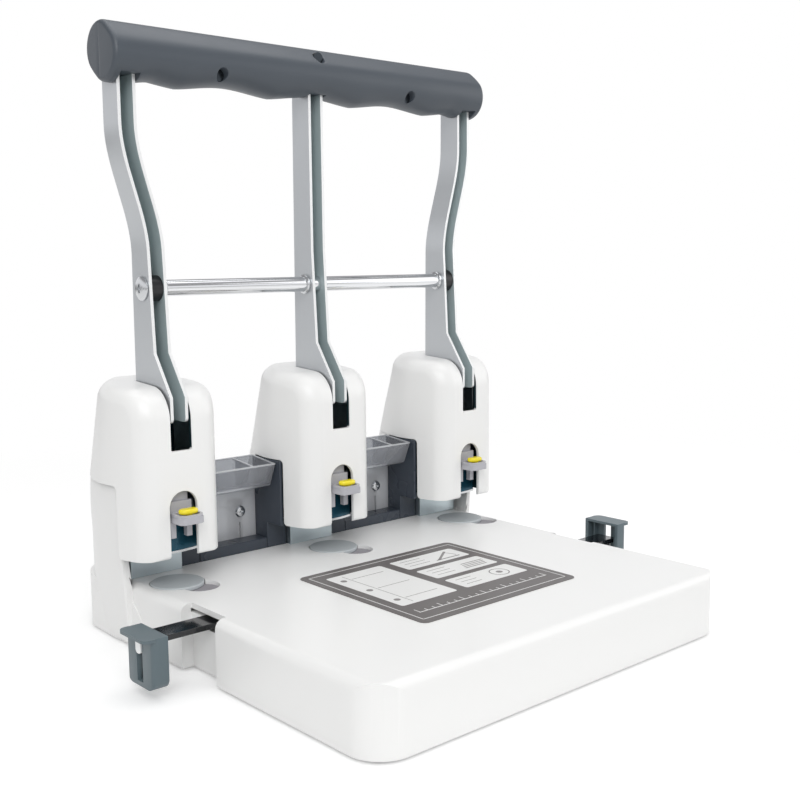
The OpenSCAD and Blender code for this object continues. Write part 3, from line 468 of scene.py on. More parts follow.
def outline(points, axis, low, high):
    """Draws a closed outline corner by corner, fills it and extrudes it along an axis."""
    def spot(a, b, level):
        return at(*{"X": (level, a, b), "Y": (a, level, b), "Z": (a, b, level)}[axis])

    piece = chain([spot(*point, low) for point in points])
    bpy.ops.mesh.remove_doubles(threshold=0.002 * MM)
    bpy.ops.mesh.edge_face_add()
    bpy.ops.mesh.extrude_region_move(TRANSFORM_OT_translate={
        "value": spot(*points[0], high) - spot(*points[0], low)})
    bpy.ops.mesh.select_all(action="SELECT")
    bpy.ops.mesh.normals_make_consistent(inside=False)
    closed()
    return piece


def turned(profile, place, axis=(0, 0, 1), steps=48):
    """Spins an outline of (radius, height) pairs into a closed turned part that stands along an axis."""
    piece = chain([Vector((radius * MM, 0, height * MM)) for radius, height in profile])
    bpy.ops.mesh.spin(steps=steps, angle=math.tau, center=(0, 0, 0), axis=(0, 0, 1))
    bpy.ops.mesh.select_all(action="SELECT")
    bpy.ops.mesh.remove_doubles(threshold=1e-6)
    bpy.ops.mesh.normals_make_consistent(inside=False)
    closed()
    piece.matrix_world = Matrix.Translation(at(*place)) @ Vector((0, 0, 1)).rotation_difference(
        Vector(axis)).to_matrix().to_4x4()
    settle(piece)
    smooth(piece, 30)
    return piece


def joined(pieces):
    """Joins several pieces into the first."""
    only(pieces[0])
    for piece in pieces[1:]:
        piece.select_set(True)
    bpy.ops.object.join()
    return pieces[0]


def cut(piece, *tools):
    """Takes other shapes out of a piece and deletes them."""
    for tool in tools:
        modifier(piece, "BOOLEAN", object=tool, operation="DIFFERENCE", solver="EXACT")
        bpy.data.objects.remove(tool)


# The heads' covers and the columns behind them

LEAN = math.atan(0.298)
HEAD = {"front": 181.0, "half": 30.3, "top": 146.0, "corner": 9.0, "nose": 17.5, "crest": 9.0, "arch": 60.0,
        "slope": 3.77, "bend": 240.5, "foot_y": 284.0, "foot_z": 8.0, "wall": 2.5}
COLUMN = {"x": 135.4, "top": 91.0, "lean": 3.0, "bow_y": 219.0, "bow_above": 82.0, "bow_foot": 115.0,
          "back": 283.9}
BASE_CORNER = (91.5, 248)


def round_max(a, b, radius):
    """Joins two distances so that their surfaces meet in a round corner."""
    return min(-radius, max(a, b)) + math.hypot(max(radius + a, 0), max(radius + b, 0))


def blend_max(a, b, reach):
    """Joins two distances with a soft seam for surfaces that meet at a flat angle."""
    share = max(reach - abs(a - b), 0) / reach
    return max(a, b) + share * share * reach / 4


def side_distance(x, y, z):
    """Distance in mm from a head's upright side, which arches inwards behind its bend."""
    side = abs(x) - HEAD["half"]
    deep = (y - HEAD["bend"]) * math.cos(LEAN) + z * math.sin(LEAN)
    return math.hypot(side + HEAD["arch"], deep) - HEAD["arch"] if deep > 0 else side


def back_distance(y, z):
    """Distance in mm from the leaning back of a head."""
    return (y - HEAD["foot_y"]) * math.cos(LEAN) + (z - HEAD["foot_z"]) * math.sin(LEAN)


def head_distance(x, y, z, inset):
    """Distance in mm from a head's surface: its front tapers in, its top is crowned, its back leans."""
    # The front is 46 mm wide and gains 7 mm on each side over 20 mm of depth
    taper = ((abs(x) - 23) * 20 - (y - 183) * 7) / 21.19
    side = blend_max(side_distance(x, y, z), taper, 5)
    away_y, away_z = y - (HEAD["front"] + HEAD["nose"]), z - (HEAD["top"] - 20)
    slope = math.radians(HEAD["slope"])
    roof = -away_y * math.sin(slope) + away_z * math.cos(slope) - HEAD["nose"]
    upper = max(HEAD["front"] - y, roof)
    if away_y < -away_z * math.tan(slope) and away_z > 0:
        upper = math.hypot(away_y, away_z) - HEAD["nose"]
    share = min(max((z - 100) / 25, 0), 1)
    whole = round_max(side, upper, HEAD["corner"])
    return round_max(whole, back_distance(y, z), 1.2 + (HEAD["crest"] - 1.2) * share) + inset


def column_distance(x, y, z):
    """Distance in mm from the right outer column: a head's arched back, with a bowed skin at its side."""
    lean = math.radians(COLUMN["lean"])
    tilted = (x - COLUMN["x"]) * math.cos(lean) - (z - COLUMN["top"]) * math.sin(lean)
    above, foot = 1 / COLUMN["bow_above"], 1 / COLUMN["bow_foot"]
    bow = 1 / (above - max(60 - z, 0) / 58 * (above - foot))
    deep = y - COLUMN["bow_y"]
    skin = tilted if deep < 0 else math.hypot(tilted + bow, deep) - bow
    skin = round_max(skin, 205 - y, 2.0)
    back = max(back_distance(y, z), y - COLUMN["back"])
    side = blend_max(side_distance(x - 108, y, z), skin, 3)
    return max(round_max(side, back, 3.0), z - 90.9, 1.6 - z)


def swollen(distance, middle, aims, cuts, far, tries):
    """Swells a subdivided cube from a middle out to where a distance turns positive."""
    bpy.ops.mesh.primitive_cube_add(size=2, location=(0, 0, 0))
    piece = bpy.context.active_object
    edit(piece)
    bpy.ops.mesh.subdivide(number_cuts=cuts)
    closed()
    for corner in piece.data.vertices:
        way = Vector([place * aim for place, aim in zip(corner.co, aims)]).normalized()
        low, high = 0.0, far
        for _ in range(tries):
            reach = (low + high) / 2
            if distance(*(middle + way * reach)) < 0:
                low = reach
            else:
                high = reach
        corner.co = at(*(middle + way * low))
    return piece


def head_solid(inset, floor, cuts):
    """A head's full form above a floor, drawn in from its surface by an inset."""
    return swollen(lambda x, y, z: max(head_distance(x, y, z, inset), floor - z), Vector((0, 222, 92)),
                   (30, 44, 56), cuts, 140.0, 24)


def make_covers():
    """Makes the head covers: one thin shell with its arm slot, window and skirt, its inside painted dark teal
    as shade, and two copies.
    """
    shell = head_solid(0, 42, 44)
    skirt = [(150, 29.3), (301.7, 29.3), (301.7, 91)] + arc_of(204.5, 88.5, 2.5, 90, 180, 4)
    skirt += arc_of(199.5, 54, 2.5, 0, -90, 5) + arc_of(183.5, 54, 2.5, 270, 180, 5) + [(150, 54)]
    slot = [(-6.2, 150)] + arc_of(-5.3, 110.6, 0.9, 180, 270, 4) + arc_of(5.3, 110.6, 0.9, 270, 360, 4)
    slot += [(6.2, 150)]
    window = [(8.3, 40)] + arc_of(0, 79.4, 8.3, 0, 180, 20) + [(-8.3, 40)]
    # The hollow comes last and its floor lies lower: the exact solver fails on shared planes
    cut(shell, outline(skirt, "X", -41.3, 41.3), outline(slot, "Y", 170, 219.3),
        outline(window, "Y", 170, 187), head_solid(HEAD["wall"], 38, 27))
    edit(shell, kind="VERT")
    bpy.ops.mesh.remove_doubles(threshold=0.1 * MM)
    bpy.ops.mesh.dissolve_limited(angle_limit=math.radians(0.4))
    closed()
    bevel(shell, 0.45, 48, use_clamp_overlap=False)
    even_out(shell, 34)
    shells = {side: twin(shell, (HEADS[side] * MM, 0, 0)) for side in ("l", "r")} | {"m": shell}
    for side, piece in shells.items():
        node, x = "head_cover_" + side, HEADS[side]
        stands(piece, node, node + "_shell")
        # Painted shade: faces more than 2.2 mm inside the cover's surface get the dark teal coat
        lined(piece, "teal_primer", lambda face: head_distance(*place_of(face, x), 0) < -2.2)


def base_corner(sign, radius):
    """What a back corner of the base loses where it is rounded."""
    points = [(129, 286), (91.5, 286)] + arc_of(*BASE_CORNER, radius, 90, 0, 12) + [(129, 248)]
    return outline([(sign * x, y) for x, y in points], "Z", -2, 35.9)


def make_columns(base):
    """Puts the swollen outer columns in place of the base's plain ones and rounds its back corners."""
    for side, sign in (("l", -1), ("r", 1)):
        cut(base, box_of((sign * 76.9, 213, 36), (sign * 160, 290, 96)), base_corner(sign, 36))
        column = swollen(column_distance, Vector((108, 245, 46)), (28, 38, 44), 36, 120.0, 22)
        for corner in column.data.vertices:
            corner.co.x *= sign
        faced_out(column)
        room = [(60, -5), (124.1, 0), (133.4, 92), (133.4, 95), (60, 95)]
        cut(column, outline([(sign * x, z) for x, z in room], "Y", 190, 232))
        edit(column, kind="VERT")
        bpy.ops.mesh.remove_doubles(threshold=0.05 * MM)
        closed()
        bevel(column, 0.4, 50, use_clamp_overlap=False)
        even_out(column, 34)
        named(column, "outer_column_" + side, "moulded_white_abs", "base", SLOT["base_shell"])


# What shows in the windows


def make_window_guides():
    """Stands a blued bowed guard with a bright lip behind each window, and on each side a dark cheek that
    paints the window's shade.
    """
    for side, x in HEADS.items():
        slot = SLOT["guide_sleeve_" + side]
        for kind, finish, out, low, high in (("guard", "blued_sheet", 0, 52.7, 68.4),
                                             ("lip", "bright_zinc_plate", 0.25, 51.6, 52.9)):
            half = 18.6 + out
            points = arc_of(x, 251.9, 60 + out, 254.5, 285.5, 24) + [(x + half, 197), (x + half, 212.6)]
            points += [(x + 18, 212.6), (x + 18, 197.2)] + arc_of(x, 251.9, 59.4, 285.3, 254.7, 24)
            points += [(x - 18, 197.2), (x - 18, 212.6), (x - half, 212.6), (x - half, 197)]
            piece = outline(points, "Z", low, high)
            smooth(piece)
            named(piece, f"sleeve_{kind}_{side}", finish, "base", slot)
        # Painted shade: thin dark teal sheets at the window's sides
        cheeks = [outline(rounded(x + out, 193.5, x + out + 0.8, 216, 0.3), "Z", 52.8, 90)
                  for out in (-20, 19.2)]
        named(joined(cheeks), "window_shade_cheeks_" + side, "teal_primer", "base", slot)


def make_sleeves():
    """Turns the guide sleeves with their flanges and the bore that the pin runs in."""
    profile = [(4.05, 0.1), (4.6, 0), (7.9, 0), (8.3, 0.4), (8.3, 1.9), (8, 2.2), (7.5, 2.3), (7.5, 17),
               (8.3, 17.05), (8.6, 17.3), (8.6, 18.2), (8.3, 18.5), (4.6, 18.5), (4.05, 18.2), (4.05, 0.1)]
    for side, x in HEADS.items():
        node = "guide_sleeve_" + side
        stands(turned(profile, (x, 201, 51.5), steps=56), node, node + "_turned")


def make_clips():
    """Moulds the release clips' shelves with a raised rim, and the bean-shaped buttons."""
    for side, x in HEADS.items():
        node = "punch_clip_" + side
        softened(node, 0.5)
        plate = arc_of(x + 3.2, 175.1, 4, 270, 360, 8) + arc_of(x + 5.4, 183, 1.8, 0, 60, 3)
        plate += arc_of(x - 5.4, 183, 1.8, 120, 180, 3) + arc_of(x - 3.2, 175.1, 4, 180, 270, 8)
        dish = arc_of(x + 3, 175.3, 2.9, 270, 360, 6) + [(x + 5.9, 181.5), (x - 5.9, 181.5)]
        dish += arc_of(x - 3, 175.3, 2.9, 180, 270, 6)
        rim = outline(plate, "Z", 74.5, 76.3)
        cut(rim, outline(dish, "Z", 74.6, 77))
        smooth(rim, 30)
        named(rim, "clip_rim_" + side, "light_grey_abs", BODY[node], SLOT[node])
        bean = arc_of(x + 2.3, 176.6, 3.2, 270, 450, 10) + [(x, 179.4)]
        bean += arc_of(x - 2.3, 176.6, 3.2, 90, 270, 10) + [(x, 173.2)]
        top = outline(bean, "Z", 76.2, 79)
        bevel(top, 1.1, 50, 4)
        smooth(top, 40)
        foot = rod_of(1.95, 5, (x, 176, 75.6), "Z", 24)
        smooth(foot)
        node = "clip_button_" + side
        stands(joined([top, foot]), node, node + "_bean")


# Guards, guides and stops


def make_guards():
    """Makes the smoked guards: a rounded open basin with a partition and a rim over a drilled, slit panel,
    the rim paler as a painted highlight.
    """
    for side, x in (("l", -54), ("r", 54)):
        node = "guard_" + side
        basin = outline([(205.5, 88.6), (211.3, 75), (229.3, 70), (231.1, 70), (231.1, 91.5)], "X",
                        x - 23.5, x + 23.5)
        bevel(basin, 1.8, 35, 5)
        inner = [(206.9, 93), (206.9, 88.9), (212.6, 76.4), (229.2, 71.8), (229.2, 93)]
        for low, high in ((x - 22.1, x + 7.4), (x + 8.8, x + 22.1)):
            hollow = outline(inner, "X", low, high)
            bevel(hollow, 2.4, 30, 4)
            cut(basin, hollow)
        smooth(basin)
        stands(basin, node, node + "_basin")
        panel = box_of((x - 23.5, 229.15, 38), (x + 23.5, 231.1, 70.3))
        cut(panel, rod_of(1.6, 20, (x + 12, 230, 58), "Y", 24),
            box_of((x + 11.4, 220, 30), (x + 12.6, 240, 51)))
        bevel(panel, 0.35, 40)
        smooth(panel)
        named(panel, node + "_panel", "frosted_polycarbonate", "base", SLOT[node])
        # Painted highlight: thin rim strips in the paler clear along the basin's top, its partition and the
        # panel's top
        rims = [outline(rounded(x - 23.5, 206.1, x + 23.5, 207.4, 0.6, 3), "Z", 88.5, 89.3)]
        bar = [(207, 88.6), (229.2, 90.7), (229.2, 91.4), (207, 89.3)]
        rims += [outline(bar, "X", place - 0.55, place + 0.55) for place in (x - 22.8, x + 8.1, x + 22.8)]
        rims.append(box_of((x - 23.4, 229.4, 91.1), (x + 23.4, 231, 91.6)))
        for rim in rims:
            smooth(rim)
        named(joined(rims), node + "_rim", "polished_edge", "base", SLOT[node])


def lower_corner(y, foot, hand, radius, reach, span):
    """What a lower corner loses where it is rounded: hand is 1 for the rear corner and -1 for the front."""
    points = arc_of(y, foot + radius, radius, 90 - hand * 90, 90 - hand * 180, 10 if radius > 4 else 8)
    points += [(y, foot - 1), (y + hand * reach, foot - 1), (y + hand * reach, foot + radius)]
    return outline(points, "X", *sorted(span))


def make_rails():
    """Makes the side guides' rails: a narrow channel with a turned-down, rounded tab at its end, painted
    bright as a highlight.
    """
    for side, sign in (("l", -1), ("r", 1)):
        node = "guide_rail_" + side
        y, foot = middle_of(node)[1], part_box(node)[0].z / MM
        rail = copied(node)
        for hand in (-1, 1):
            cut(rail, box_of((sign * -30, y + hand * 3, 20), (sign * 160, y + hand * 10, 27.6)),
                lower_corner(y + hand * 0.3, foot, hand, 2.2, 3, (sign * 155, sign * 163)))
        bevel(rail, 0.35, 30, 3)
        even_out(rail)
        stands(rail, node, node + "_pressed")
        # Painted highlight: the end tab gets the near-white finish
        lined(rail, "burnished_edge", lambda face: abs(face.center.x) > 157.9 * MM)


def make_stops(edge):
    """Rounds the end stops and gives their lower corners a wider curve."""
    for node in ("end_stop_l", "end_stop_r"):
        y, (low, high) = middle_of(node)[1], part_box(node)
        stop = softened(node, edge)
        for hand in (-1, 1):
            cut(stop, lower_corner(y + hand * 7.5, low.z / MM, hand, 5.5, 7,
                                   (low.x / MM - 1, high.x / MM + 1)))
        bevel(stop, 0.5, 40)
        smooth(stop)


# The lever


def crank_of(side, z):
    """Sideways place in mm of an arm's middle line at a height."""
    share = min(max((z - 213) / 68, 0), 1)
    return side * (108 + 13.5 * share * share * (3 - 2 * share))


def line_channel(piece, side):
    """Gives the inside of an arm's channel a darker grey-green, and its front-facing edges a painted
    highlight.
    """
    def inside(face):
        x, y, z = place_of(face)
        off = abs(x - crank_of(side, z))
        return (off < 3.6 and face.normal.y < -0.6 and y > 205) or (off < 3.75 and abs(face.normal.x) > 0.6)

    # Painted highlight: faces that look forwards near the channel's front get the near-white finish
    def lit_edge(face):
        return face.material_index == 0 and face.normal.y < -0.35 and place_of(face)[1] < 213

    lined(piece, "grey_primer", inside)
    lined(piece, "burnished_edge", lit_edge)


def scallop(x):
    """How far the grip's underside is hollowed for the fingers at a place along it, from 0 to 1."""
    away = abs((x / (60 * MM)) % 1 - 0.5) * 2
    hollow = 1 - (1 - away) ** 2
    end = min(max((118 * MM - abs(x)) / (12 * MM), 0), 1)
    return (0.45 * hollow + 0.55 * (1 - math.cos(math.pi * away)) / 2) * end


def make_grip(sizes):
    """Lofts the grip, waves its underside, recesses it for arms and screws, and splits it in two."""
    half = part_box("grip_front")[1].x
    middle = at(0, 207.3, 316.3)
    lean = Vector((0, math.cos(math.radians(40)), math.sin(math.radians(40))))
    thick, oval = 14 * MM, 2.8 * MM
    bpy.ops.mesh.primitive_cylinder_add(vertices=72, radius=1, depth=2, rotation=(0, math.pi / 2, 0))
    bar = bpy.context.active_object
    settle(bar)
    edit(bar, lambda e: abs(e.verts[0].co.x - e.verts[1].co.x) > 1, "EDGE")
    bpy.ops.mesh.subdivide(number_cuts=109)
    closed()
    for corner in bar.data.vertices:
        x = corner.co.x * half
        way = Vector((0, corner.co.y, corner.co.z)).normalized()
        lobe = max(-1, min(1, way.dot(lean) * 5))
        place = way * thick + lean * oval * lobe
        if place.z < 0:
            place.z *= 1 - sizes.wave * scallop(x) / (thick + oval * lean.z)
        corner.co = middle + place + Vector((x, 0, 0))
    bevel(bar, 2.6, 60, 5)
    cut(bar, *(box_of((x - 5.7, 190, 290), (x + 5.7, 216.6, 305.3)) for x in (-121.5, 0, 121.5)),
        *(rod_of(3.5, 20, (x, 189.2, z), "Y", 32) for x, z in ((-68, 309), (0, 325.6), (68, 309))))
    for piece, node, front in ((bar, "grip_front", True), (twin(bar), "grip_rear", False)):
        edit(piece, kind="VERT")
        bpy.ops.mesh.bisect(plane_co=at(0, 208.5, 0), plane_no=(0, 1, 0), use_fill=True,
                            clear_outer=front, clear_inner=not front)
        closed()
        bevel(piece, 0.28, 40)
        smooth(piece)
        stands(piece, node, node + "_half")


def make_springs():
    """Winds the torsion springs on both sides of each arm's foot."""
    wire, gap = 0.75, 5.6
    for side, x in HEADS.items():
        node = "lever_spring_" + side
        low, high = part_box(node)
        axle = at(x, *middle_of(node)[1:])
        turn_r = (high.y - low.y) / 2 - wire * MM
        coils = []
        for sign in (-1, 1):
            bpy.ops.mesh.primitive_circle_add(vertices=10, radius=wire * MM, location=(0, turn_r, 0),
                                              rotation=(0, math.pi / 2, 0))
            coil = bpy.context.active_object
            settle(coil)
            modifier(coil, "SCREW", axis="X", angle=math.tau * 4.25, steps=130, render_steps=130,
                     screw_offset=(high.x - low.x) / 2 - (gap + 2 * wire) * MM, use_merge_vertices=False)
            edit(coil, lambda e: e.is_boundary, "EDGE")
            bpy.ops.mesh.edge_face_add()
            closed()
            coil.data.transform(Matrix.Translation(axle + Vector((sign * (gap + wire) * MM, 0, 0)))
                                @ Matrix.Scale(sign, 4, (1, 0, 0)))
            faced_out(coil)
            coils.append(coil)
        springs = joined(coils)
        smooth(springs, 60)
        named(springs, "wound_springs_" + side, "oiled_spring_wire", "base", SLOT[node], (node,))


def cross_recess(place, axis, reach, depth):
    """Two crossed bars that cut a screw's driving recess."""
    half, thin = reach / 2, reach * 0.16
    for a, b in ((thin, half), (half, thin)):
        spans = Vector((depth, a, b) if axis == "X" else (a, depth, b))
        yield box_of(Vector(place) - spans, Vector(place) + spans)


def screw_head(profile, place, axis, face, reach, depth, steps=48):
    """Turns a domed screw head and cuts its crossed recess into the middle of its face."""
    head = turned(profile, place, axis, steps)
    cut(head, *cross_recess(face, "X" if axis[0] else "Y", reach, depth))
    smooth(head, 30)
    return head


def make_screws():
    """Turns the rod's and the guards' screws with domed heads and crossed recesses."""
    _, y, z = middle_of("rod_screws")
    profile = [(0, 0), (5.9, 0), (6.5, 0.35), (6.5, 0.9), (5.4, 1.6), (3.2, 2.1), (0, 2.2)]
    heads = [screw_head(profile, (sign * 113.3, y, z), (sign, 0, 0), (sign * 115.5, y, z), 4.6, 1.1)
             for sign in (-1, 1)]
    stands(joined(heads), "rod_screws", "rod_screw_heads")
    front, z = (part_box("guard_screws")[0].y - FRONT) / MM, middle_of("guard_screws")[2]
    profile = [(0, 0), (3.5, 0), (3.5, 0.8), (2.8, 1.6), (1.5, 1.95), (0, 2)]
    heads = [screw_head(profile, (x, front + 2, z), (0, -1, 0), (x, front, z), 2.8, 1.2, 40)
             for x in (-42, 66)]
    stands(joined(heads), "guard_screws", "guard_screw_heads")


def make_collars():
    """Turns the collars that stand against the arms on the cross rod."""
    _, y, z = middle_of("rod_collars")
    profile = [(4.55, 0), (5.5, 0), (5.75, 0.25), (5.75, 1.3), (5.3, 1.8), (4.55, 2.1), (4.55, 0)]
    rings = [turned(profile, (x, y, z), (sign, 0, 0), 40)
             for x, sign in ((-102.65, 1), (-5.35, -1), (5.35, 1), (102.65, -1))]
    stands(joined(rings), "rod_collars", "rod_collar_rings")


# The label


def line_of(x0, y0, x1, y1, width):
    """Corners of a straight stroke between two places."""
    along = Vector((x1 - x0, y1 - y0)).normalized() * width / 2
    across = Vector((-along.y, along.x))
    start, end = Vector((x0, y0)) - along, Vector((x1, y1)) + along
    return [tuple(start + across), tuple(start - across), tuple(end - across), tuple(end + across)]


def ring_of(x, y, radius, width, start, end, steps):
    """Corners of an open ring, drawn as one stroke out and back."""
    return (arc_of(x, y, radius, start, end, steps)
            + arc_of(x, y, radius - width, start, end, steps)[::-1])


def make_label():
    """Prints a plain generic drawing on the label: a ruler, a punched sheet and three small scenes."""
    softened("label_panel", 0.12)
    layers = {"white": [], "grey": []}

    def ink(tone, points):
        level = {"white": 35.9, "grey": 35.93}[tone]
        piece = outline(points, "Z", level, level + 0.06)
        smooth(piece, 30)
        layers[tone].append(piece)

    # Frame line and ruler
    for stroke in ((-53, 52, 53, 52, 0.5), (-53, 145, 53, 145, 0.5), (-53, 52, -53, 145, 0.5),
                   (53, 52, 53, 145, 0.5), (-47, 61, 47, 61, 0.6)):
        ink("white", line_of(*stroke))
    for step in range(-9, 10):
        tall = 4.2 if step % 3 == 0 else 2.2
        ink("white", line_of(step * 5.2, 61.4, step * 5.2, 61.4 + tall, 0.45))
    # A sheet with three holes on the left
    ink("white", rounded(-47, 74, -8, 138, 1.5, 3))
    for y in (84, 106, 128):
        ink("grey", arc_of(-42, y, 1.9, 0, 345, 22))
        ink("grey", line_of(-36, y, -14, y, 0.5))
    ink("grey", line_of(-37.5, 77, -37.5, 135, 0.4))
    # Three scenes on the right: a turned disc, a stack of sheets and the lever
    disc = [ring_of(33, 83, 6, 0.7, 2, 358, 28), arc_of(33, 83, 2, 0, 345, 20)]
    stack = [line_of(25 + row, 101 + row * 2.4, 41 + row, 101 + row * 2.4, 0.9) for row in range(4)]
    lever = [line_of(26, 124, 39, 134, 1.6), line_of(24, 123.5, 41, 123.5, 1.2),
             ring_of(26, 124, 15, 0.7, 5, 35, 8)]
    for index, (y, drawing) in enumerate(((74, disc), (97, stack), (120, lever))):
        ink("white", rounded(-1, y, 47, y + 18, 1.5, 3))
        for row in (5, 9.5, 14):
            ink("grey", line_of(4, y + row, 15 + 2 * index, y + row, 0.5))
        for points in drawing:
            ink("grey", points)
    for tone, pieces in layers.items():
        named(joined(pieces), "label_" + tone, tone + "_ink", "base", SLOT["label_panel"])


# The stage


def unseen_or(tree, low, high):
    """A strength that is high where the camera, a reflection or a refraction looks, and low for light."""
    path = add(tree, "LightPath").outputs
    seen = add(tree, "Math", {0: path["Is Camera Ray"], 1: path["Is Glossy Ray"]}, operation="MAXIMUM")
    through = add(tree, "Math", {0: seen.outputs[0], 1: path["Is Transmission Ray"]}, operation="MAXIMUM")
    return add(tree, "MapRange", {"Value": through.outputs[0]}, To_Min=low, To_Max=high).outputs["Result"]


def make_world(light):
    """A white studio: white to the eye, mild on the object, with grey bands for the metal to mirror."""
    world = bpy.data.worlds.new("white_studio")
    bpy.context.scene.world = world
    world.use_nodes = True
    tree = world.node_tree
    tree.nodes.clear()
    height = add(tree, "SeparateXYZ", {"Vector": add(tree, "TexCoord").outputs["Generated"]})
    bands = add(tree, "ValToRGB", {"Fac": height.outputs["Z"]})
    ramp = bands.color_ramp
    for place, shade in ((0.0, 0.3), (0.06, 1.0), (0.3, 1.0), (0.42, 0.34), (0.7, 0.4), (0.85, 1.0)):
        ramp.elements.new(place).color = (shade, shade, shade * 1.02, 1)
    ramp.elements.remove(ramp.elements[0])
    ramp.elements.remove(ramp.elements[-1])
    glossy = add(tree, "LightPath").outputs["Is Glossy Ray"]
    dimmed = add(tree, "MixRGB", {"Fac": glossy, "Color2": bands.outputs["Color"]}, Color1=(1, 1, 1, 1))
    sky = add(tree, "Background", {"Color": dimmed.outputs["Color"],
                                   "Strength": unseen_or(tree, light, 1.0)})
    add(tree, "OutputWorld", {"Surface": sky.outputs["Background"]})


def make_floor(glow):
    """A pale floor that stays white where nothing shades it and keeps the object's soft shadow."""
    bpy.ops.mesh.primitive_plane_add(size=6, location=(0, 0, CAD_LOW.z))
    floor = bpy.context.active_object
    floor.name = "studio_floor"
    made, tree, out = blank("white_paper_floor")
    paper = add(tree, "BsdfDiffuse", Color=(0.86, 0.86, 0.86, 1))
    shine = add(tree, "Emission", {"Strength": unseen_or(tree, 0.0, glow)})
    near = add(tree, "AddShader", {0: paper.outputs["BSDF"], 1: shine.outputs["Emission"]})
    far = add(tree, "Emission", {"Strength": unseen_or(tree, 0.5, 1.0)})
    reach = add(tree, "VectorMath", {0: add(tree, "TexCoord").outputs["Object"]}, operation="LENGTH")
    fade = add(tree, "MapRange", {"Value": reach.outputs["Value"]}, From_Min=0.28, From_Max=0.7)
    both = add(tree, "MixShader", {"Fac": fade.outputs["Result"], 1: near.outputs["Shader"],
                                   2: far.outputs["Emission"]})
    tree.links.new(both.outputs["Shader"], out.inputs["Surface"])
    floor.data.materials.append(made)


def lamp(name, power, size, place, target):
    """A square soft lamp that faces a point."""
    data = bpy.data.lights.new(name, "AREA")
    data.energy = power
    data.size = size
    made = bpy.data.objects.new(name, data)
    bpy.context.scene.collection.objects.link(made)
    made.location = place
    made.rotation_euler = (Vector(target) - Vector(place)).to_track_quat("-Z", "Y").to_euler()


def make_camera():
    """The camera at the photograph's place and angle."""
    data = bpy.data.cameras.new("photo_camera")
    data.sensor_width = 36
    data.lens = 49.616
    data.shift_x = -0.01108
    data.shift_y = 0.0062
    made = bpy.data.objects.new("photo_camera", data)
    bpy.context.scene.collection.objects.link(made)
    yaw, pitch, roll = (math.radians(v) for v in (41.82, 7.65, -0.46))
    ahead = Vector((math.sin(yaw) * math.cos(pitch), math.cos(yaw) * math.cos(pitch), -math.sin(pitch)))
    right = Vector((math.cos(yaw), -math.sin(yaw), 0))
    up = right.cross(ahead)
    x = right * math.cos(roll) + up * math.sin(roll)
    y = up * math.cos(roll) - right * math.sin(roll)
    made.matrix_world = Matrix.Translation((-0.4030, -0.4717, 0.2107)) @ Matrix(
        (x, y, -ahead)).transposed().to_4x4()
    bpy.context.scene.camera = made
    bpy.context.scene.view_settings.view_transform = "Standard"


# What a user can change


def tint(name, description, code):
    """A colour that a user can change."""
    return FloatVectorProperty(name=name, description=description, subtype="COLOR", size=4, min=0, max=1,
                               default=linear(code))


def length(name, description, size):
    """A length in mm that a user can change."""
    return FloatProperty(name=name, description=description, default=size * MM, min=0, unit="LENGTH",
                         precision=5)


def power(name, description, size):
    """A lamp's power that a user can change."""
    return FloatProperty(name=name, description=description, default=size, min=0, subtype="POWER")


class PunchLook(bpy.types.PropertyGroup):
    """Colours of the main finishes."""

    shell: tint("Shell", "Colour of the covers and the base", "#f2f2f1")
    grip: tint("Grip", "Colour of the moulded grip", "#454c54")
    arms: tint("Arms", "Colour of the lacquered arms", "#c3c6c9")
    button: tint("Buttons", "Colour of the release buttons", "#f4e11e")
    stops: tint("Stops", "Colour of the end stops", "#5c6a70")


class PunchSizes(bpy.types.PropertyGroup):
    """Sizes of the details that dress the part."""

    shell_edge: length("Shell edges", "Rounding of the mouldings' edges", 0.7)
    metal_edge: length("Metal edges", "Rounding of the sheet metal's edges", 0.3)
    wave: length("Finger hollows", "Depth of the hollows under the grip", 3.2)


class PunchStage(bpy.types.PropertyGroup):
    """Strength of the light."""

    daylight: FloatProperty(name="Even light", description="Light that comes from all around",
                            default=0.52, min=0)
    key: power("Key lamp", "Power of the large lamp at the front left", 9)
    fill: power("Fill lamp", "Power of the lamp at the right", 4)
    top: power("Top lamp", "Power of the lamp overhead", 5)
    glow: FloatProperty(name="Paper glow", description="How much the floor is lifted towards white",
                        default=0.25, min=0)


class PunchStep(bpy.types.Operator):
    """What all steps share."""

    bl_options = {"REGISTER", "UNDO"}

    def execute(self, context):
        self.work(context.scene)
        return {"FINISHED"}


class PUNCH_OT_finishes(PunchStep):
    """Make all finishes"""

    bl_idname = "punch.finishes"
    bl_label = "Finishes"

    def work(self, scene):
        make_finishes(scene.punch_look)
        for node, piece in NODES.items():
            paint(piece, DRESS[stem(node)])


class PUNCH_OT_mouldings(PunchStep):
    """Round the edges of the base and the other mouldings"""

    bl_idname = "punch.mouldings"
    bl_label = "Mouldings"

    def work(self, scene):
        edge = scene.punch_sizes.shell_edge / MM
        make_columns(softened("base_shell", edge))
        make_clips()
        make_guards()
        for side in SIDES:
            softened("die_disc_" + side, edge)
            softened("die_seat_" + side, edge / 4)
            softened("head_core_" + side, edge / 2)
        make_stops(edge * 1.2)
        for node in ("feet", "rear_sills"):
            softened(node, edge * 0.6)
        cut(softened("chip_pan", edge * 0.6), *(base_corner(sign, 32.8) for sign in (-1, 1)))


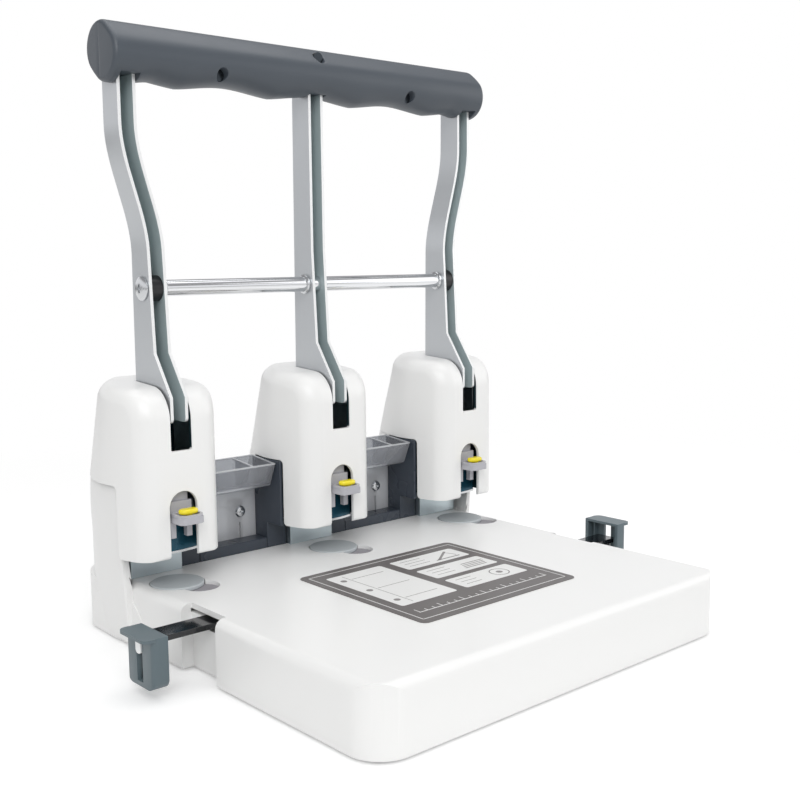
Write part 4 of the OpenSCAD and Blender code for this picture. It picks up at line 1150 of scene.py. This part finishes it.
class PUNCH_OT_metalwork(PunchStep):
    """Round the edges of the arms, the frames and the rails"""

    bl_idname = "punch.metalwork"
    bl_label = "Metalwork"

    def work(self, scene):
        edge = scene.punch_sizes.metal_edge / MM
        for place, side in zip((-1, 0, 1), SIDES):
            line_channel(softened("arm_" + side, edge * 1.5), place)
            for kind in ("punch_frame_", "punch_pin_", "pivot_pin_"):
                softened(kind + side, edge)
        for node in ("rod_bush_l", "rod_bush_r"):
            softened(node, edge)
        make_collars()
        make_sleeves()
        make_window_guides()
        make_rails()


class PUNCH_OT_covers(PunchStep):
    """Swell, hollow and cut the head covers"""

    bl_idname = "punch.covers"
    bl_label = "Head covers"

    def work(self, scene):
        make_covers()


class PUNCH_OT_label(PunchStep):
    """Print the label"""

    bl_idname = "punch.label"
    bl_label = "Label"

    def work(self, scene):
        make_label()


class PUNCH_OT_grip(PunchStep):
    """Loft the grip and split it in two halves"""

    bl_idname = "punch.grip"
    bl_label = "Grip"

    def work(self, scene):
        make_grip(scene.punch_sizes)


class PUNCH_OT_springs(PunchStep):
    """Wind the lever's springs"""

    bl_idname = "punch.springs"
    bl_label = "Springs"

    def work(self, scene):
        make_springs()


class PUNCH_OT_screws(PunchStep):
    """Turn the screws of the rod and the guards"""

    bl_idname = "punch.screws"
    bl_label = "Screws"

    def work(self, scene):
        make_screws()


class PUNCH_OT_stage(PunchStep):
    """Set up the floor, the white studio, the lamps and the camera"""

    bl_idname = "punch.stage"
    bl_label = "Stage"

    def work(self, scene):
        light = scene.punch_stage
        make_world(light.daylight)
        make_floor(light.glow)
        middle = (0, 0.02, 0.14)
        lamp("key_lamp", light.key, 0.9, (-0.75, -0.95, 0.95), middle)
        lamp("fill_lamp", light.fill, 1.1, (1.2, -0.6, 0.6), middle)
        lamp("top_lamp", light.top, 1.2, (0.1, 0.1, 1.3), middle)
        make_camera()


class PUNCH_PT_steps(bpy.types.Panel):
    """Steps that dress the punch"""

    bl_label = "Lever punch"
    bl_space_type = "VIEW_3D"
    bl_region_type = "UI"
    bl_category = "Punch"

    def draw(self, context):
        column = self.layout.column(align=True)
        for group in (context.scene.punch_look, context.scene.punch_sizes, context.scene.punch_stage):
            for name in group.bl_rna.properties.keys():
                if name not in ("rna_type", "name"):
                    column.prop(group, name)
        for step in STEPS:
            column.operator(step.bl_idname)


STEPS = (PUNCH_OT_finishes, PUNCH_OT_mouldings, PUNCH_OT_covers, PUNCH_OT_metalwork, PUNCH_OT_label,
         PUNCH_OT_grip, PUNCH_OT_springs, PUNCH_OT_screws, PUNCH_OT_stage)
GROUPS = (PunchLook, PunchSizes, PunchStage)


def register():
    """Registers the groups, the steps and the panel."""
    for each in (*GROUPS, *STEPS, PUNCH_PT_steps):
        bpy.utils.register_class(each)
    bpy.types.Scene.punch_look = PointerProperty(type=PunchLook)
    bpy.types.Scene.punch_sizes = PointerProperty(type=PunchSizes)
    bpy.types.Scene.punch_stage = PointerProperty(type=PunchStage)


def unregister():
    """Takes them all off again."""
    del bpy.types.Scene.punch_stage, bpy.types.Scene.punch_sizes, bpy.types.Scene.punch_look
    for each in reversed((*GROUPS, *STEPS, PUNCH_PT_steps)):
        bpy.utils.unregister_class(each)


def main():
    """Runs every step in order."""
    register()
    for step in STEPS:
        family, name = step.bl_idname.split(".")
        getattr(getattr(bpy.ops, family), name)()


if __name__ == "__main__":
    main()
